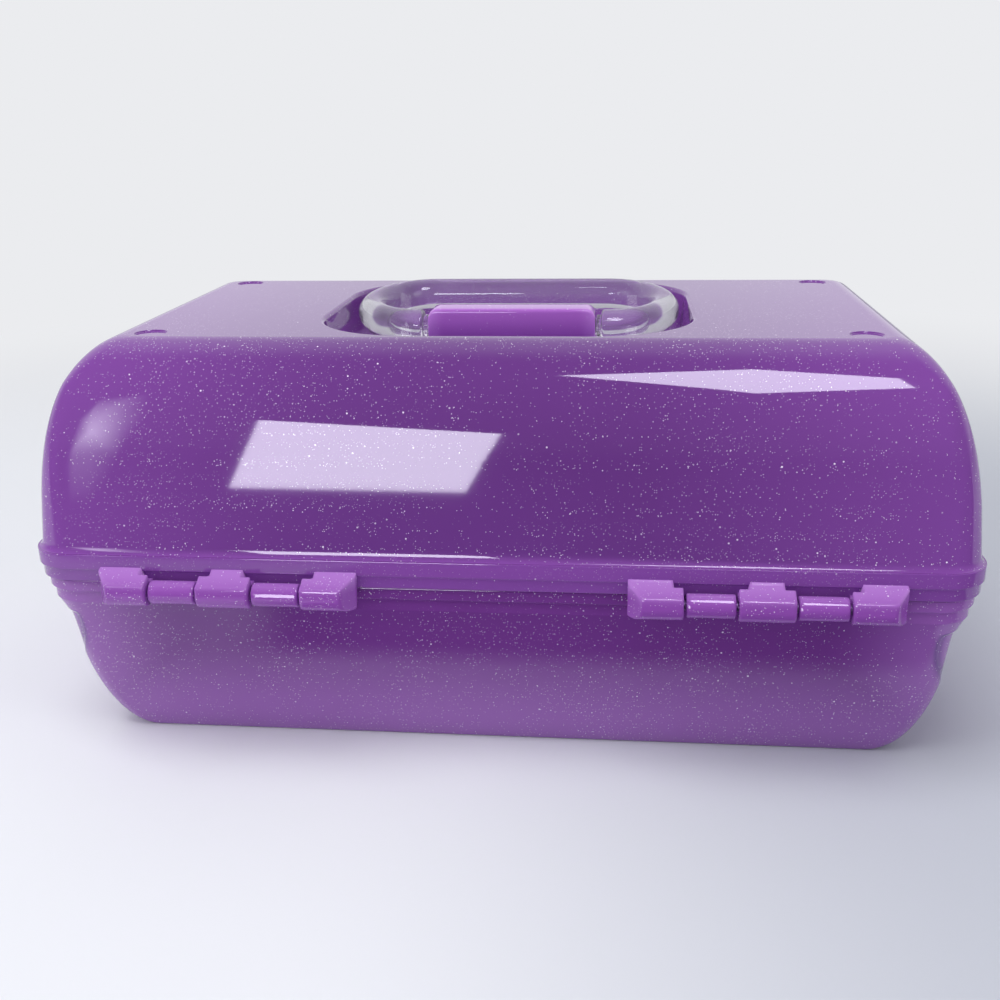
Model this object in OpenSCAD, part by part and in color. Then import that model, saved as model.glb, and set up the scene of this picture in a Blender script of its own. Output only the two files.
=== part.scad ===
// A moulded makeup case: a deep base, a domed lid on a two-part rear hinge, a clear swinging
// handle in a pocket of the lid, a front latch, and two trays that rise as the lid opens.
// Millimetres. X runs along the case, the latch is at -Y, the hinge at +Y, and Z=0 is the floor.

/* [Case] */
// Length of the case over its rim
rim_l = 332; // [320:2:360]
// Depth of the case over its rim, without hinge and latch
rim_d = 195.6; // [190:0.4:206]
// Corner radius of the rim, seen from above
rim_r = 15; // [13:0.5:20]
// Height of the closed case to its flat top
case_h = 153; // [150:1:165]
// Height of the line where lid and base meet
part_h = 71.4; // [70:0.2:76]
// Thickness of the moulded walls
wall = 2.4; // [2:0.1:2.8]

/* [Lid form] */
// How far the lid's wall leans in for each millimetre of height
lid_lean_share = 0.1; // [0.06:0.01:0.12]
// Height of the rounded top edge at the two ends
end_round_h = 55; // [48:1:58]
// How far the rounded top edge runs in at the two ends
end_round_run = 23; // [18:0.5:26]
// Height of the rounded top edge at front and rear
side_round_h = 35; // [30:1:42]
// How far the rounded top edge runs in at front and rear
side_round_run = 23.4; // [20:0.2:24.6]
// How fast the lid's corner radius shrinks for each millimetre that the wall stands in
lid_corner_share = 0.75; // [0.5:0.05:0.9]
// Corner radius of the flat top
top_r = 6; // [5.5:0.5:9]
// Height of the set-back band at the lid's lower edge
hem_h = 4.6; // [3.6:0.2:5]
// How far that band stands in behind the band above it
hem_in = 0.9; // [0.6:0.1:1]
// Height of the band above it, the widest part of the case
skirt_h = 5.6; // [4.6:0.2:7]
// Height of the hollow curve above the bands
skirt_curve_h = 3; // [2:0.2:4]
// How far the lid's wall stands in behind the band
skirt_in = 1.9; // [1:0.1:2.2]
// Radius of the round dimples in the top
dimple_r = 5.7; // [4:0.1:5.9]
// Depth of the dimples
dimple_deep = 0.6; // [0.3:0.1:1]
// Distance of a dimple's centre from the end of the case
dimple_from_end = 40.3; // [39.8:0.5:46]
// Distance of a dimple's centre from the rim's front or rear
dimple_from_side = 38.4; // [38.2:0.1:41]

/* [Base form] */
// How far the base's ends lean in for each millimetre of depth
end_lean_share = 0.07; // [0.04:0.01:0.1]
// How far the base's front and rear lean in for each millimetre of depth
side_lean_share = 0.3; // [0.24:0.01:0.32]
// How fast the base's corner radius shrinks for each millimetre that the wall stands in
base_corner_share = 0.3; // [0.2:0.05:0.35]
// Height of the rounded bottom edge
foot_round_h = 40; // [34:1:44]
// How far the rounded bottom edge runs in at the ends
foot_end_run = 16; // [12:1:20]
// How far the rounded bottom edge runs in at front and rear
foot_side_run = 4; // [3:0.5:6]
// Height of each of the two bands of the base's rim
band_h = 4.4; // [3.6:0.2:4.8]
// How far the lower band stands in behind the upper one
band_in = 1.1; // [0.8:0.1:1.3]
// How far the base's rim stands in behind the lid's
rim_set = 2.1; // [1.8:0.1:2.4]
// Height of the slope from the bands to the wall
neck_h = 5.4; // [4.6:0.2:7]
// How far that slope runs in
neck_run = 2.2; // [1.8:0.1:2.6]
// Height of the locating lip that stands up inside the lid
lip_h = 2.4; // [1.6:0.2:3]
// Thickness of the locating lip
lip_t = 1.6; // [1.2:0.1:1.8]
// Half width of the scooped dish in each end
dish_half_w = 48; // [40:1:52]
// Half height of the scooped dish
dish_half_h = 20; // [16:1:22]
// Depth of the scooped dish
dish_deep = 3.2; // [2:0.2:3.6]
// Height of the dish's centre
dish_z = 38; // [34:1:40]

/* [Hinge] */
// Drop of the hinge axis below the meeting line
hinge_drop = 1.4; // [1.2:0.1:1.8]
// Distance of the hinge axis behind the rim
hinge_out = 3.6; // [3.5:0.1:4.2]
// Distance of the hinge's outer end from the end of the case
hinge_from_end = 28; // [26:0.5:34]
// Width of each lid tab
tab_w = 18.4; // [15:0.2:20]
// Width of each base barrel
barrel_w = 16.2; // [12:0.2:18]
// Side gap between tab and barrel
knuckle_gap = 1; // [0.6:0.1:1.4]
// Radius of a lid tab round its pin
tab_r = 5; // [4.6:0.1:5.1]
// Radius of a base barrel
barrel_r = 4.1; // [3.6:0.1:4.5]
// Radius of the hinge pins
hinge_pin_r = 1.6; // [1.3:0.1:1.9]
// Height of the tabs' roofs over the lid's lower edge, where they leave the rim
roof_h = 6.1; // [5.6:0.1:7]
// How far the outer corner of an end tab is cut away
tab_slant = 4.6; // [3:0.2:6]
// Width of the square notch beside a tab's neck
notch_w = 3.3; // [2:0.1:4]
// How far that notch reaches out from the rim
notch_deep = 3; // [2:0.1:3.4]

/* [Handle] */
// Radius of the clear tube
tube_r = 6.4; // [5.6:0.1:6.8]
// Radius of the handle's bends, to the middle of the tube
bend_r = 24.6; // [22:0.2:26]
// Distance from the middle of the case to each arm's end
arm_end_x = 35.2; // [34.6:0.1:35.8]
// How far the pivot stands behind the middle of the case
pivot_y = 3.3; // [2:0.1:5]
// Depth of the pivot's axis below the top
pivot_drop = 7.6; // [7.4:0.1:8.4]
// Angle at which the folded handle points up
handle_tilt = 5.8; // [4:0.2:8]
// Radius of the pivot pins on the arms
stub_r = 3.2; // [2.6:0.1:3.4]
// Length of a pivot pin inside the saddle
stub_l = 5.2; // [4:0.2:7]
// Number of ribs round the collar
collar_ribs = 16; // [10:1:24]

/* [Pocket and saddle] */
// Half length of the handle pocket
pocket_half_l = 69; // [68.5:0.5:74]
// Flat strip between the handle pocket and the rounded edge
pocket_land = 1.2; // [0.8:0.1:4]
// Corner radius of the pocket, seen from above
pocket_r = 37.5; // [34:0.5:42]
// Depth of the pocket
pocket_deep = 16; // [15.5:0.1:17]
// How far the pocket's wall leans in
pocket_lean = 1; // [0.4:0.1:1.2]
// Radius between the pocket's wall and floor
pocket_floor_r = 5; // [3:0.5:5.5]
// Radius of the pocket's lip
pocket_lip_r = 1.8; // [1:0.1:2]
// Half length of the saddle
saddle_half_l = 32.8; // [30:0.2:33]
// Half depth of the saddle that holds the handle's pivots
saddle_half_d = 6.6; // [5.4:0.1:8]
// Radius of the saddle's long upper edges
saddle_edge_r = 1.4; // [0.8:0.1:2]
// Radius of the saddle's upper end corners
saddle_corner_r = 3.6; // [2:0.2:4.4]

/* [Latch] */
// Width of the latch
latch_w = 46; // [36:1:60]
// Thickness of the latch plate
latch_t = 3.2; // [2.6:0.1:3.6]
// Height of the latch's axis above the meeting line
latch_axis_up = 14.6; // [13:0.2:16]
// How far the catch stands out from the rim
catch_out = 1.4; // [1:0.1:2]
// How far the latch's nose stands out towards the catch
nose_out = 1.5; // [1:0.1:2]
// Length of the plate below its axis
latch_drop = 31; // [28:0.5:34]
// Radius of the latch's eye
latch_eye_r = 3.9; // [3.4:0.1:4.2]
// Radius of the latch pin
latch_pin_r = 1.5; // [1.2:0.1:1.8]
// Thickness of the lugs beside the latch
lug_t = 3.6; // [3:0.1:5]

/* [Trays] */
// Depth of each tray
tray_d = 94; // [86:1:96]
// Height of each tray
tray_h = 28; // [24:1:29]
// Corner radius of the trays
tray_r = 16; // [14:1:20]
// Thickness of the trays' walls
tray_wall = 1.8; // [1.4:0.1:2.2]
// Space between a tray's end and the inside of the base's rim
tray_end_space = 14.4; // [14:0.1:16]
// Space between the trays' front and the inside of the base's rim
tray_front_space = 10.2; // [9:0.1:12]
// Space between the lower tray's top and the upper tray's bottom
tray_gap = 1.5; // [1:0.1:3]
// How far the lower tray's top lies below the meeting line
tray_drop = 2.5; // [2:0.1:4]
// Forward reach of the linkage to the upper tray
link_reach = 60; // [50:1:62]
// Rise of the linkage to the upper tray
link_rise = 22; // [21.6:0.2:24]
// Thickness of the side arms
arm_t = 2.5; // [2:0.1:3]
// Half width of the side arms
arm_half_w = 4.5; // [4:0.1:5]
// Radius of the linkage pins
link_pin_r = 2; // [1.6:0.1:2.4]
// Thickness of the loose dividers
divider_t = 1.6; // [1.2:0.1:2.2]

/* [Mirror] */
// Margin of the mirror's frame outside its screws
frame_margin = 6.5; // [5.5:0.5:8]
// Depth of the mirror's frame
frame_t = 4.2; // [3.8:0.1:5]
// Thickness of the mirror glass
glass_t = 2; // [1.5:0.1:2.4]
// Space between the pocket's underside and the mirror's frame
frame_under = 3; // [2.8:0.1:5]

/* [Fits] */
// Gap between lid and base where they meet
part_gap = 0.3; // [0.2:0.05:0.4]
// Side clearance of parts that slide past each other
slide_gap = 0.4; // [0.3:0.05:0.5]
// Radial clearance of a pin in its bore
pin_fit = 0.06; // [0.03:0.01:0.1]
// Radial clearance of a screw in the piece that it passes through
screw_clear = 0.3; // [0.2:0.05:0.5]

/* [Hidden] */

$fn = 64;
over = 1;
arc_steps = 9;
lip_steps = 4;
lid_colour = "#6a3a8c";
base_colour = "#8a56a4";
clear_colour = "#d9dde6";
tray_colour = "#b79ad0";
steel_colour = "silver";

half_l = rim_l / 2;
half_d = rim_d / 2;

hinge_y = half_d + hinge_out;
hinge_z = part_h - hinge_drop;
hinge_outer = half_l - hinge_from_end;
tab_starts = [for (k = [0:2]) hinge_outer - tab_w - k * (tab_w + barrel_w + 2 * knuckle_gap)];
barrel_starts = [for (k = [0:1]) tab_starts[k] - knuckle_gap - barrel_w];
hinge_inner = tab_starts[2];
pin_end_wall = 2.4;
tab_root = 1.6;
notch_floor = 3.2;
web_step = 0.3;
web_top = hinge_drop - part_gap - web_step;
web_low = 6;
tab_brow_y = tab_r - 0.4;
tab_brow_z = tab_r - 1.3;

base_top = part_h - part_gap;
band_low = base_top - 2 * band_h;
neck_z = band_low - neck_h;
neck_in = rim_set + band_in + neck_run;
rim_in = rim_set + band_in + wall;
lip_y = half_d - hem_in - wall - slide_gap - lip_t / 2;

skirt_top = part_h + hem_h + skirt_h;
lid_wall_z = skirt_top + skirt_curve_h;
hem_step = 0.3;
corner_n = 9;
least_r = 6;
dish_turn = 20;
dish_fn = 192;
lid_top_side = skirt_in + lid_lean_share * (case_h - lid_wall_z) + side_round_run;
pocket_half_d = half_d - lid_top_side - pocket_land - pocket_lip_r;

pocket_floor_z = case_h - pocket_deep;
pivot_z = case_h - pivot_drop;
collar_up = 1.1;
collar_r = stub_r + collar_up;
rib_deep = 0.5;

screw_r = 1.3;
screw_head_r = 2.8;
screw_head_t = 1.6;
screw_bite = 8;
saddle_screw_x = 21;
saddle_screw_y = pivot_y;

dimple_x = half_l - dimple_from_end;
dimple_y = half_d - dimple_from_side;
frame_top = pocket_floor_z - wall - frame_under;
frame_half_l = dimple_x + frame_margin;
frame_half_d = dimple_y + frame_margin;
frame_back_t = 1.2;
frame_lip = 1.6;
frame_r = 10;
glass_r = 6;
boss_r = 4.6;
glass_half_l = dimple_x - boss_r;
glass_half_d = dimple_y - boss_r;

snap_gap = 0.3;
latch_y = -(half_d + catch_out + snap_gap + nose_out + latch_t / 2);
latch_z = part_h + latch_axis_up;
lug_x = latch_w / 2 + slide_gap;
catch_half_w = 15;
catch_t = 1.8;
nose_t = 2.4;
latch_join = (latch_eye_r + latch_pin_r) / 2;
lip_flare = 2.4;
lug_slope = 1;

inner_half_l = half_l - rim_in;
inner_half_d = half_d - rim_in;
tray_half_l = inner_half_l - tray_end_space;
tray_y = -inner_half_d + tray_front_space + tray_d / 2;
lower_top = part_h - tray_drop;
lower_z = lower_top - tray_h;
upper_z = lower_top + tray_gap;
tray_flange = 1.6;
tray_flange_t = 1.8;
tray_floor_r = 4;
rib_w = 1.4;
upper_wall_share = 1 / 3;
upper_divider_share = 2 / 3;
lower_divider_share = 1 / 2;
divider_low = 3;
tray_in_y = tray_d / 2 - tray_flange - tray_wall;
tray_in_x = tray_half_l - tray_flange - tray_wall;
upper_xs = [for (e = [-1, 1]) e * tray_in_x * upper_wall_share];
upper_divider_xs = [for (e = [-1, 1]) e * tray_in_x * upper_divider_share];
lower_divider_xs = [for (e = [-1, 1]) e * tray_in_x * lower_divider_share];

reach = [-link_reach, link_rise];
lid_upper = [hinge_y + reach[0], hinge_z + reach[1]];
lid_lower = [hinge_y + reach[0] / 2, hinge_z + reach[1] / 2];
upper_pin_up = 5;
lower_hang = 6.5;
arm_pin_front = 4;
arm_upper = [tray_y - arm_pin_front, upper_z + upper_pin_up];
arm_base = [arm_upper[0] - reach[0], arm_upper[1] - reach[1]];
arm_lower = [arm_base[0] + reach[0] / 2, arm_base[1] + reach[1] / 2];
arm_x = tray_half_l + slide_gap;
boss_bite = 5;
arm_boss_in = arm_x + arm_t + slide_gap;
arm_boss_end = arm_boss_in + boss_bite;
lid_pin_bite = 7;
head_r = 3.4;
head_t = 0.9;
ear_t = 2.2;
ear_half_w = 4;
bar_share = 0.86;
web_share = 0.8;
ear_hold = 18;

// A quarter round: 0 at s=0, 1 at s=1, upright at its start
function ease(s) = let (c = min(1, max(0, s))) 1 - sqrt(1 - c * c);

// A level of the case: [inset at the ends, inset at front and rear, corner radius, height]
function level(end_in, side_in, t, z, share, least) = [end_in + t, side_in + t,
    max(least, rim_r - share * side_in) - t, z];

// The lid's wall at height z; t is 0 outside and the wall inside
function lid_ring(end_in, side_in, t, z) = level(end_in, side_in, t, z, lid_corner_share, top_r);
function lid_level(z, t) = let (base = skirt_in + lid_lean_share * (z - lid_wall_z))
    lid_ring(base + end_round_run * ease((z - case_h + end_round_h) / (end_round_h - t)),
        base + side_round_run * ease((z - case_h + side_round_h) / (side_round_h - t)), t, z);
function lid_levels(t) = concat(
    t > 0 ? [for (z = [part_h - over, skirt_top]) lid_ring(hem_in, hem_in, t, z)] :
        [for (v = [[hem_in, part_h], [hem_in, part_h + hem_h],
            [0, part_h + hem_h + hem_step], [0, skirt_top]]) lid_ring(v[0], v[0], 0, v[1])],
    [for (i = [t > 0 ? 2 : 1:lip_steps]) let (a = 90 * i / lip_steps, c = skirt_in * sin(a))
        lid_ring(c, c, t, lid_wall_z - skirt_curve_h * cos(a))],
    [for (i = [0:arc_steps])
        lid_level(case_h - end_round_h + (end_round_h - t) * sin(90 * i / arc_steps), t)]);

// The base's wall at height z, below the bands
function base_ring(end_in, side_in, t, z) = level(end_in, side_in, t, z, base_corner_share, least_r);
function base_level(z, t) = let (s = ease((foot_round_h - z) / (foot_round_h - t)))
    base_ring(neck_in + end_lean_share * (neck_z - z) + foot_end_run * s,
        neck_in + side_lean_share * (neck_z - z) + foot_side_run * s, t, z);
function base_wall_levels(t) = concat(
    [for (i = [arc_steps:-1:0]) base_level(foot_round_h - (foot_round_h - t) * sin(90 * i / arc_steps), t)],
    [base_level(neck_z, t)]);
function base_levels() = concat(base_wall_levels(0), [for (k = [1, 0], e = [1, 0])
    let (c = rim_set + k * band_in)
        base_ring(c, c, 0, base_top - (k + e) * band_h + (e - 1) * k * hem_step)]);
function hollow_levels() = concat(base_wall_levels(wall),
    [for (z = [band_low, base_top + over]) base_ring(rim_in - wall, rim_in - wall, wall, z)]);

// The pocket's section from its floor to its lip; t thickens it by a wall
function pocket_section(t) = concat(
    [for (i = [0:lip_steps]) let (a = 90 * i / lip_steps, r = pocket_floor_r + t)
        [pocket_lean + pocket_floor_r - r * sin(a), pocket_floor_z + pocket_floor_r - r * cos(a)]],
    t > 0 ? [[-t, case_h - wall / 2]] : concat(
        [for (i = [0:lip_steps]) let (a = 90 * i / lip_steps)
            [-pocket_lip_r * (1 - cos(a)), case_h - pocket_lip_r * (1 - sin(a))]],
        [[-pocket_lip_r, case_h + over]]));

// A solid whose outline at each height is a rounded rectangle, set in as the section says:
// two straight runs and four turned corners
module form(hl, hd, r, section) {
    n = len(section);
    for (side = [[hl, hd, 90], [hd, hl, 0]])
        rotate([90, 0, side[2]]) translate([0, 0, r - side[0]]) linear_extrude(2 * (side[0] - r))
            polygon(concat([for (p = section) [side[1] - p[0], p[1]]],
                [for (i = [n - 1:-1:0]) [section[i][0] - side[1], section[i][1]]]));
    for (sx = [0, 1], sy = [0, 1]) mirror([sx, 0, 0]) mirror([0, sy, 0])
        translate([hl - r, hd - r, 0]) rotate_extrude(angle = 90)
            polygon(concat([for (p = section) [r - p[0], p[1]]],
                [[0, section[n - 1][1]], [0, section[0][1]]]));
}

// One rounded rectangle of the case's form, as points in a ring
function ring(v) = let (hx = half_l - v[0], hy = half_d - v[1], r = v[2])
    [for (q = [0:3], i = [0:corner_n]) let (a = 90 * (q + i / corner_n),
        cx = (q == 0 || q == 3 ? 1 : -1) * (hx - r), cy = (q < 2 ? 1 : -1) * (hy - r))
        [cx + r * cos(a), cy + r * sin(a), v[3]]];

// A solid skinned over the levels, from the lowest to the highest
module case_form(levels) {
    n = 4 * (corner_n + 1);
    m = len(levels);
    polyhedron(points = [for (v = levels) each ring(v)], faces = concat(
        [[for (i = [0:n - 1]) i]], [[for (i = [n - 1:-1:0]) (m - 1) * n + i]],
        [for (j = [0:m - 2], i = [0:n - 1])
            [j * n + i, (j + 1) * n + i, (j + 1) * n + (i + 1) % n, j * n + (i + 1) % n]]));
}

// Draws its children on the right and mirrored on the left
module both_ends() {
    for (s = [0, 1]) mirror([s, 0, 0]) children();
}

// A round pin or bore along X from x0 to x1, centred at [y, z]
module rod_x(r, x0, x1, at) {
    translate([x0, at[0], at[1]]) rotate([0, 90, 0]) cylinder(r = r, h = x1 - x0);
}

// A flat bar with a round eye at each end, between two points of a YZ plane, from x0 to x1
module bar_x(half_w, x0, x1, a, b) {
    run = b - a;
    waist = half_w * bar_share;
    rod_x(half_w, x0, x1, a);
    rod_x(half_w, x0, x1, b);
    translate([x0, a[0], a[1]]) rotate([atan2(run[1], run[0]), 0, 0])
        translate([0, 0, -waist]) cube([x1 - x0, norm(run), 2 * waist]);
}

// A YZ outline, measured from the point at, pushed along X from x0 to x1
module push_x(x0, x1, at) {
    translate([x0, at[0], at[1]]) rotate([90, 0, 90]) linear_extrude(x1 - x0) children();
}

// A lid tab seen along the hinge: a round eye, a brow over it and a sloping roof up to the rim
module tab_outline() {
    circle(r = tab_r);
    polygon([[-hinge_out - hem_in - tab_root, hinge_drop + over], [-tab_r / 2, hinge_drop / 2],
        [tab_brow_y, 0], [tab_brow_y, tab_brow_z], [-hinge_out, hinge_drop + roof_h],
        [-hinge_out - tab_root, hinge_drop + roof_h]]);
}

// One lid tab; ends says which sides meet a barrel, so that they get a notch and not a slant
module lid_tab(x0, meets_in, meets_out) {
    x1 = x0 + tab_w;
    difference() {
        push_x(x0, x1, [hinge_y, hinge_z]) tab_outline();
        for (e = [[meets_in, x0 - over], [meets_out, x1 - notch_w]])
            if (e[0]) translate([e[1], half_d - hem_in - tab_root / 2, hinge_z + notch_floor])
                cube([notch_w + over, hem_in + tab_root / 2 + notch_deep, 2 * tab_r]);
        for (e = [[meets_in, x0, 1], [meets_out, x1, -1]])
            if (!e[0]) translate([e[1], hinge_y, hinge_z - 2 * tab_r]) linear_extrude(4 * tab_r)
                polygon([[-e[2] * over, -hinge_out / 2], [0, -hinge_out / 2], [e[2] * tab_slant, tab_r],
                    [e[2] * tab_slant, tab_r + over], [-e[2] * over, tab_r + over]]);
    }
}

module barrel_outline() {
    web_in = hinge_out + rim_in - wall / 2;
    circle(r = barrel_r);
    polygon([[-web_in, -web_low], [-web_in, web_top], [0, web_top], [0, -barrel_r * web_share]]);
}

// The dish cutter, bellied both ways, leaning with the wall; grow thickens it for the inside
module dish_cutter(grow) {
    across = (dish_half_w * dish_half_w + dish_deep * dish_deep) / (2 * dish_deep);
    upright = (dish_half_h * dish_half_h + dish_deep * dish_deep) / (2 * dish_deep);
    face_x = half_l - base_level(dish_z, 0)[0] - dish_deep;
    translate([face_x, 0, dish_z]) rotate([0, atan(end_lean_share), 0])
        translate([across, 0, 0]) rotate([0, 0, 180 - dish_turn / 2])
            rotate_extrude(angle = dish_turn, $fn = dish_fn)
                translate([across - upright, 0]) intersection() {
                    circle(r = upright + grow);
                    translate([upright - 3 * dish_deep, -upright]) square([2 * upright, 2 * upright]);
                }
}

module base_tub() {
    color(base_colour) difference() {
        union() {
            difference() {
                case_form(base_levels());
                case_form(hollow_levels());
            }
            intersection() {
                case_form(base_levels());
                both_ends() dish_cutter(wall);
            }
            for (s = [-1, 1])
                translate([rim_r - half_l, s * lip_y - lip_t / 2, base_top - over])
                    cube([rim_l - 2 * rim_r, lip_t, lip_h + over]);
            both_ends() for (x = barrel_starts)
                push_x(x, x + barrel_w, [hinge_y, hinge_z]) barrel_outline();
            both_ends() intersection() {
                rod_x(head_r + wall / 2, arm_boss_in, half_l, arm_base);
                case_form(base_levels());
            }
            translate([-catch_half_w, -half_d - catch_out, base_top - band_h - catch_t / 2])
                cube([2 * catch_half_w, catch_out + rim_set + band_in + over, catch_t]);
        }
        both_ends() {
            dish_cutter(0);
            rod_x(hinge_pin_r + pin_fit, hinge_inner, hinge_outer, [hinge_y, hinge_z]);
            rod_x(link_pin_r + pin_fit, arm_boss_in - over, arm_boss_end, arm_base);
        }
    }
}

module hinge_pins() {
    color(steel_colour) both_ends()
        rod_x(hinge_pin_r, hinge_inner + pin_end_wall + slide_gap, hinge_outer - pin_end_wall - slide_gap,
            [hinge_y, hinge_z]);
}

// A headed pin along X: the head lies at x0, the shank runs to x1
module headed_pin(x0, x1, at) {
    step = x1 > x0 ? head_t : -head_t;
    rod_x(head_r, min(x0, x0 + step), max(x0, x0 + step), at);
    rod_x(link_pin_r, min(x0, x1), max(x0, x1), at);
}

module arm_pivot_pins() {
    color(steel_colour) both_ends()
        headed_pin(arm_x + slide_gap / 4, arm_boss_end - slide_gap, arm_base);
}

module lid_shell() {
    pin_depth = hinge_outer - hinge_inner - 2 * pin_end_wall;
    color(lid_colour) difference() {
        union() {
            difference() {
                case_form(lid_levels(0));
                case_form(lid_levels(wall));
            }
            form(pocket_half_l, pocket_half_d, pocket_r, pocket_section(wall));
            both_ends() for (k = [0:2]) lid_tab(tab_starts[k], k != 2, k != 0);
            both_ends() intersection() {
                for (at = [lid_upper, lid_lower]) rod_x(ear_half_w, tray_half_l + slide_gap, half_l, at);
                case_form(lid_levels(0));
            }
            for (sx = [-1, 1], sy = [-1, 1]) translate([sx * dimple_x, sy * dimple_y, frame_top])
                cylinder(r = boss_r, h = case_h - wall / 2 - frame_top);
            both_ends() push_x(lug_x, lug_x + lug_t, [latch_y, latch_z]) {
                circle(r = latch_eye_r);
                polygon([[0, latch_eye_r * web_share], [0, -latch_eye_r * web_share],
                    [lug_root(latch_z - latch_eye_r), -latch_eye_r - lug_slope],
                    [lug_root(latch_z + latch_eye_r), latch_eye_r + lug_slope]]);
            }
        }
        form(pocket_half_l, pocket_half_d, pocket_r, pocket_section(0));
        for (sx = [-1, 1], sy = [-1, 1]) translate([sx * dimple_x, sy * dimple_y, 0]) {
            translate([0, 0, case_h - dimple_deep]) cylinder(r = dimple_r, h = over);
            translate([0, 0, frame_top - over]) cylinder(r = screw_r + pin_fit, h = screw_bite + over);
        }
        both_ends() {
            rod_x(hinge_pin_r + pin_fit, hinge_inner + pin_end_wall, hinge_outer - pin_end_wall,
                [hinge_y, hinge_z]);
            for (at = [lid_upper, lid_lower])
                rod_x(link_pin_r + pin_fit, tray_half_l, tray_half_l + lid_pin_bite, at);
            rod_x(latch_pin_r + pin_fit, 0, lug_x + lug_t - pin_end_wall / 2, [latch_y, latch_z]);
            translate([saddle_screw_x, saddle_screw_y, pocket_floor_z - wall - over])
                cylinder(r = screw_r + screw_clear, h = wall + 2 * over);
        }
    }
}
function lug_root(z) = lid_level(z, wall / 2)[1] - latch_y - half_d;

module saddle_outline() {
    edge = saddle_half_d - saddle_edge_r;
    translate([-saddle_half_d, pocket_floor_z - pivot_z])
        square([2 * saddle_half_d, pocket_deep - saddle_edge_r]);
    translate([-edge, pocket_floor_z - pivot_z]) square([2 * edge, pocket_deep]);
    for (e = [-edge, edge]) translate([e, pivot_drop - saddle_edge_r]) circle(r = saddle_edge_r);
}

module handle_saddle() {
    h = pocket_deep;
    end = saddle_half_l - saddle_corner_r;
    color(lid_colour) difference() {
        intersection() {
            push_x(-saddle_half_l, saddle_half_l, [pivot_y, pivot_z]) saddle_outline();
            translate([0, half_d, pocket_floor_z]) rotate([90, 0, 0]) linear_extrude(rim_d) {
                translate([-saddle_half_l, 0]) square([2 * saddle_half_l, h - saddle_corner_r]);
                translate([-end, 0]) square([2 * end, h]);
                for (s = [-1, 1]) translate([s * end, h - saddle_corner_r]) circle(r = saddle_corner_r);
            }
        }
        both_ends() {
            rod_x(stub_r + pin_fit, saddle_half_l - stub_l - slide_gap, saddle_half_l + over,
                [pivot_y, pivot_z]);
            translate([saddle_screw_x, saddle_screw_y, pocket_floor_z - over])
                cylinder(r = screw_r + pin_fit, h = screw_bite + over);
        }
    }
}

// A pan-head screw that points up, its head's upper face at the origin
module screw(grip) {
    translate([0, 0, -screw_head_t]) cylinder(r = screw_head_r, h = screw_head_t);
    cylinder(r = screw_r, h = grip + screw_bite - over);
}

module saddle_screws() {
    color(steel_colour) for (s = [-1, 1])
        translate([s * saddle_screw_x, saddle_screw_y, pocket_floor_z - wall]) screw(wall);
}

module mirror_frame() {
    low = frame_top - frame_t;
    plate = [[0, low], [0, frame_top]];
    seat_top = frame_top - frame_back_t;
    window = [[frame_lip, low - over], [frame_lip, seat_top - glass_t]];
    seat = [[-slide_gap, seat_top - glass_t - slide_gap], [-slide_gap, seat_top]];
    color(tray_colour) difference() {
        form(frame_half_l, frame_half_d, frame_r, plate);
        form(glass_half_l, glass_half_d, glass_r, window);
        form(glass_half_l, glass_half_d, glass_r, seat);
        for (sx = [-1, 1], sy = [-1, 1]) translate([sx * dimple_x, sy * dimple_y, low - over]) {
            cylinder(r = screw_r + screw_clear, h = frame_t + 2 * over);
            cylinder(r = screw_head_r + screw_clear, h = screw_head_t + slide_gap + over);
        }
    }
}

module mirror_glass() {
    top = frame_top - frame_back_t - slide_gap / 2;
    color("#c8d2da") form(glass_half_l, glass_half_d, glass_r, [[0, top - glass_t], [0, top]]);
}

module mirror_screws() {
    grip = frame_t - screw_head_t - slide_gap;
    color(steel_colour) for (sx = [-1, 1], sy = [-1, 1])
        translate([sx * dimple_x, sy * dimple_y, frame_top - grip]) screw(grip);
}

module latch_pin() {
    reach_x = lug_x + lug_t - pin_end_wall / 2 - slide_gap;
    color(steel_colour) rod_x(latch_pin_r, -reach_x, reach_x, [latch_y, latch_z]);
}

module lid_tray_pins() {
    color(steel_colour) both_ends() for (at = [lid_upper, lid_lower])
        headed_pin(tray_half_l - ear_t - head_t - slide_gap / 2,
            tray_half_l + lid_pin_bite - slide_gap, at);
}

// A ring of half-round ribs on a round core
module ribbed_collar(x0, x1) {
    push_x(x0, x1, [0, 0])
        polygon([for (i = [0:2 * collar_ribs - 1])
            let (a = 180 * i / collar_ribs, r = collar_r - (i % 2) * rib_deep)
                [r * cos(a), r * sin(a)]]);
}

module handle_grip() {
    bend_x = arm_end_x + slide_gap;
    color(clear_colour, 0.5) translate([0, pivot_y, pivot_z]) rotate([-handle_tilt, 0, 0]) {
        rod_x(tube_r, -bend_x, bend_x, [-2 * bend_r, 0]);
        both_ends() {
            translate([bend_x, -bend_r, 0]) rotate([0, 0, -90]) rotate_extrude(angle = 180)
                translate([bend_r, 0]) circle(r = tube_r);
            rod_x(tube_r, arm_end_x, bend_x, [0, 0]);
            ribbed_collar(saddle_half_l + slide_gap, arm_end_x);
            rod_x(stub_r, saddle_half_l - stub_l, saddle_half_l + slide_gap, [0, 0]);
        }
    }
}

module latch_outline() {
    in_face = latch_t / 2;
    nose_z = base_top - band_h - catch_t / 2 - snap_gap - latch_z;
    polygon([[-in_face, -latch_join], [in_face, -latch_join], [in_face, nose_z],
        [in_face + nose_out, nose_z], [in_face + nose_out, nose_z - nose_t / 3],
        [in_face, nose_z - nose_t], [in_face, lip_flare - latch_drop], [-lip_flare, -latch_drop],
        [-lip_flare - latch_t, lip_flare / 2 - latch_drop], [-in_face, 3 * lip_flare - latch_drop]]);
}

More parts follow.
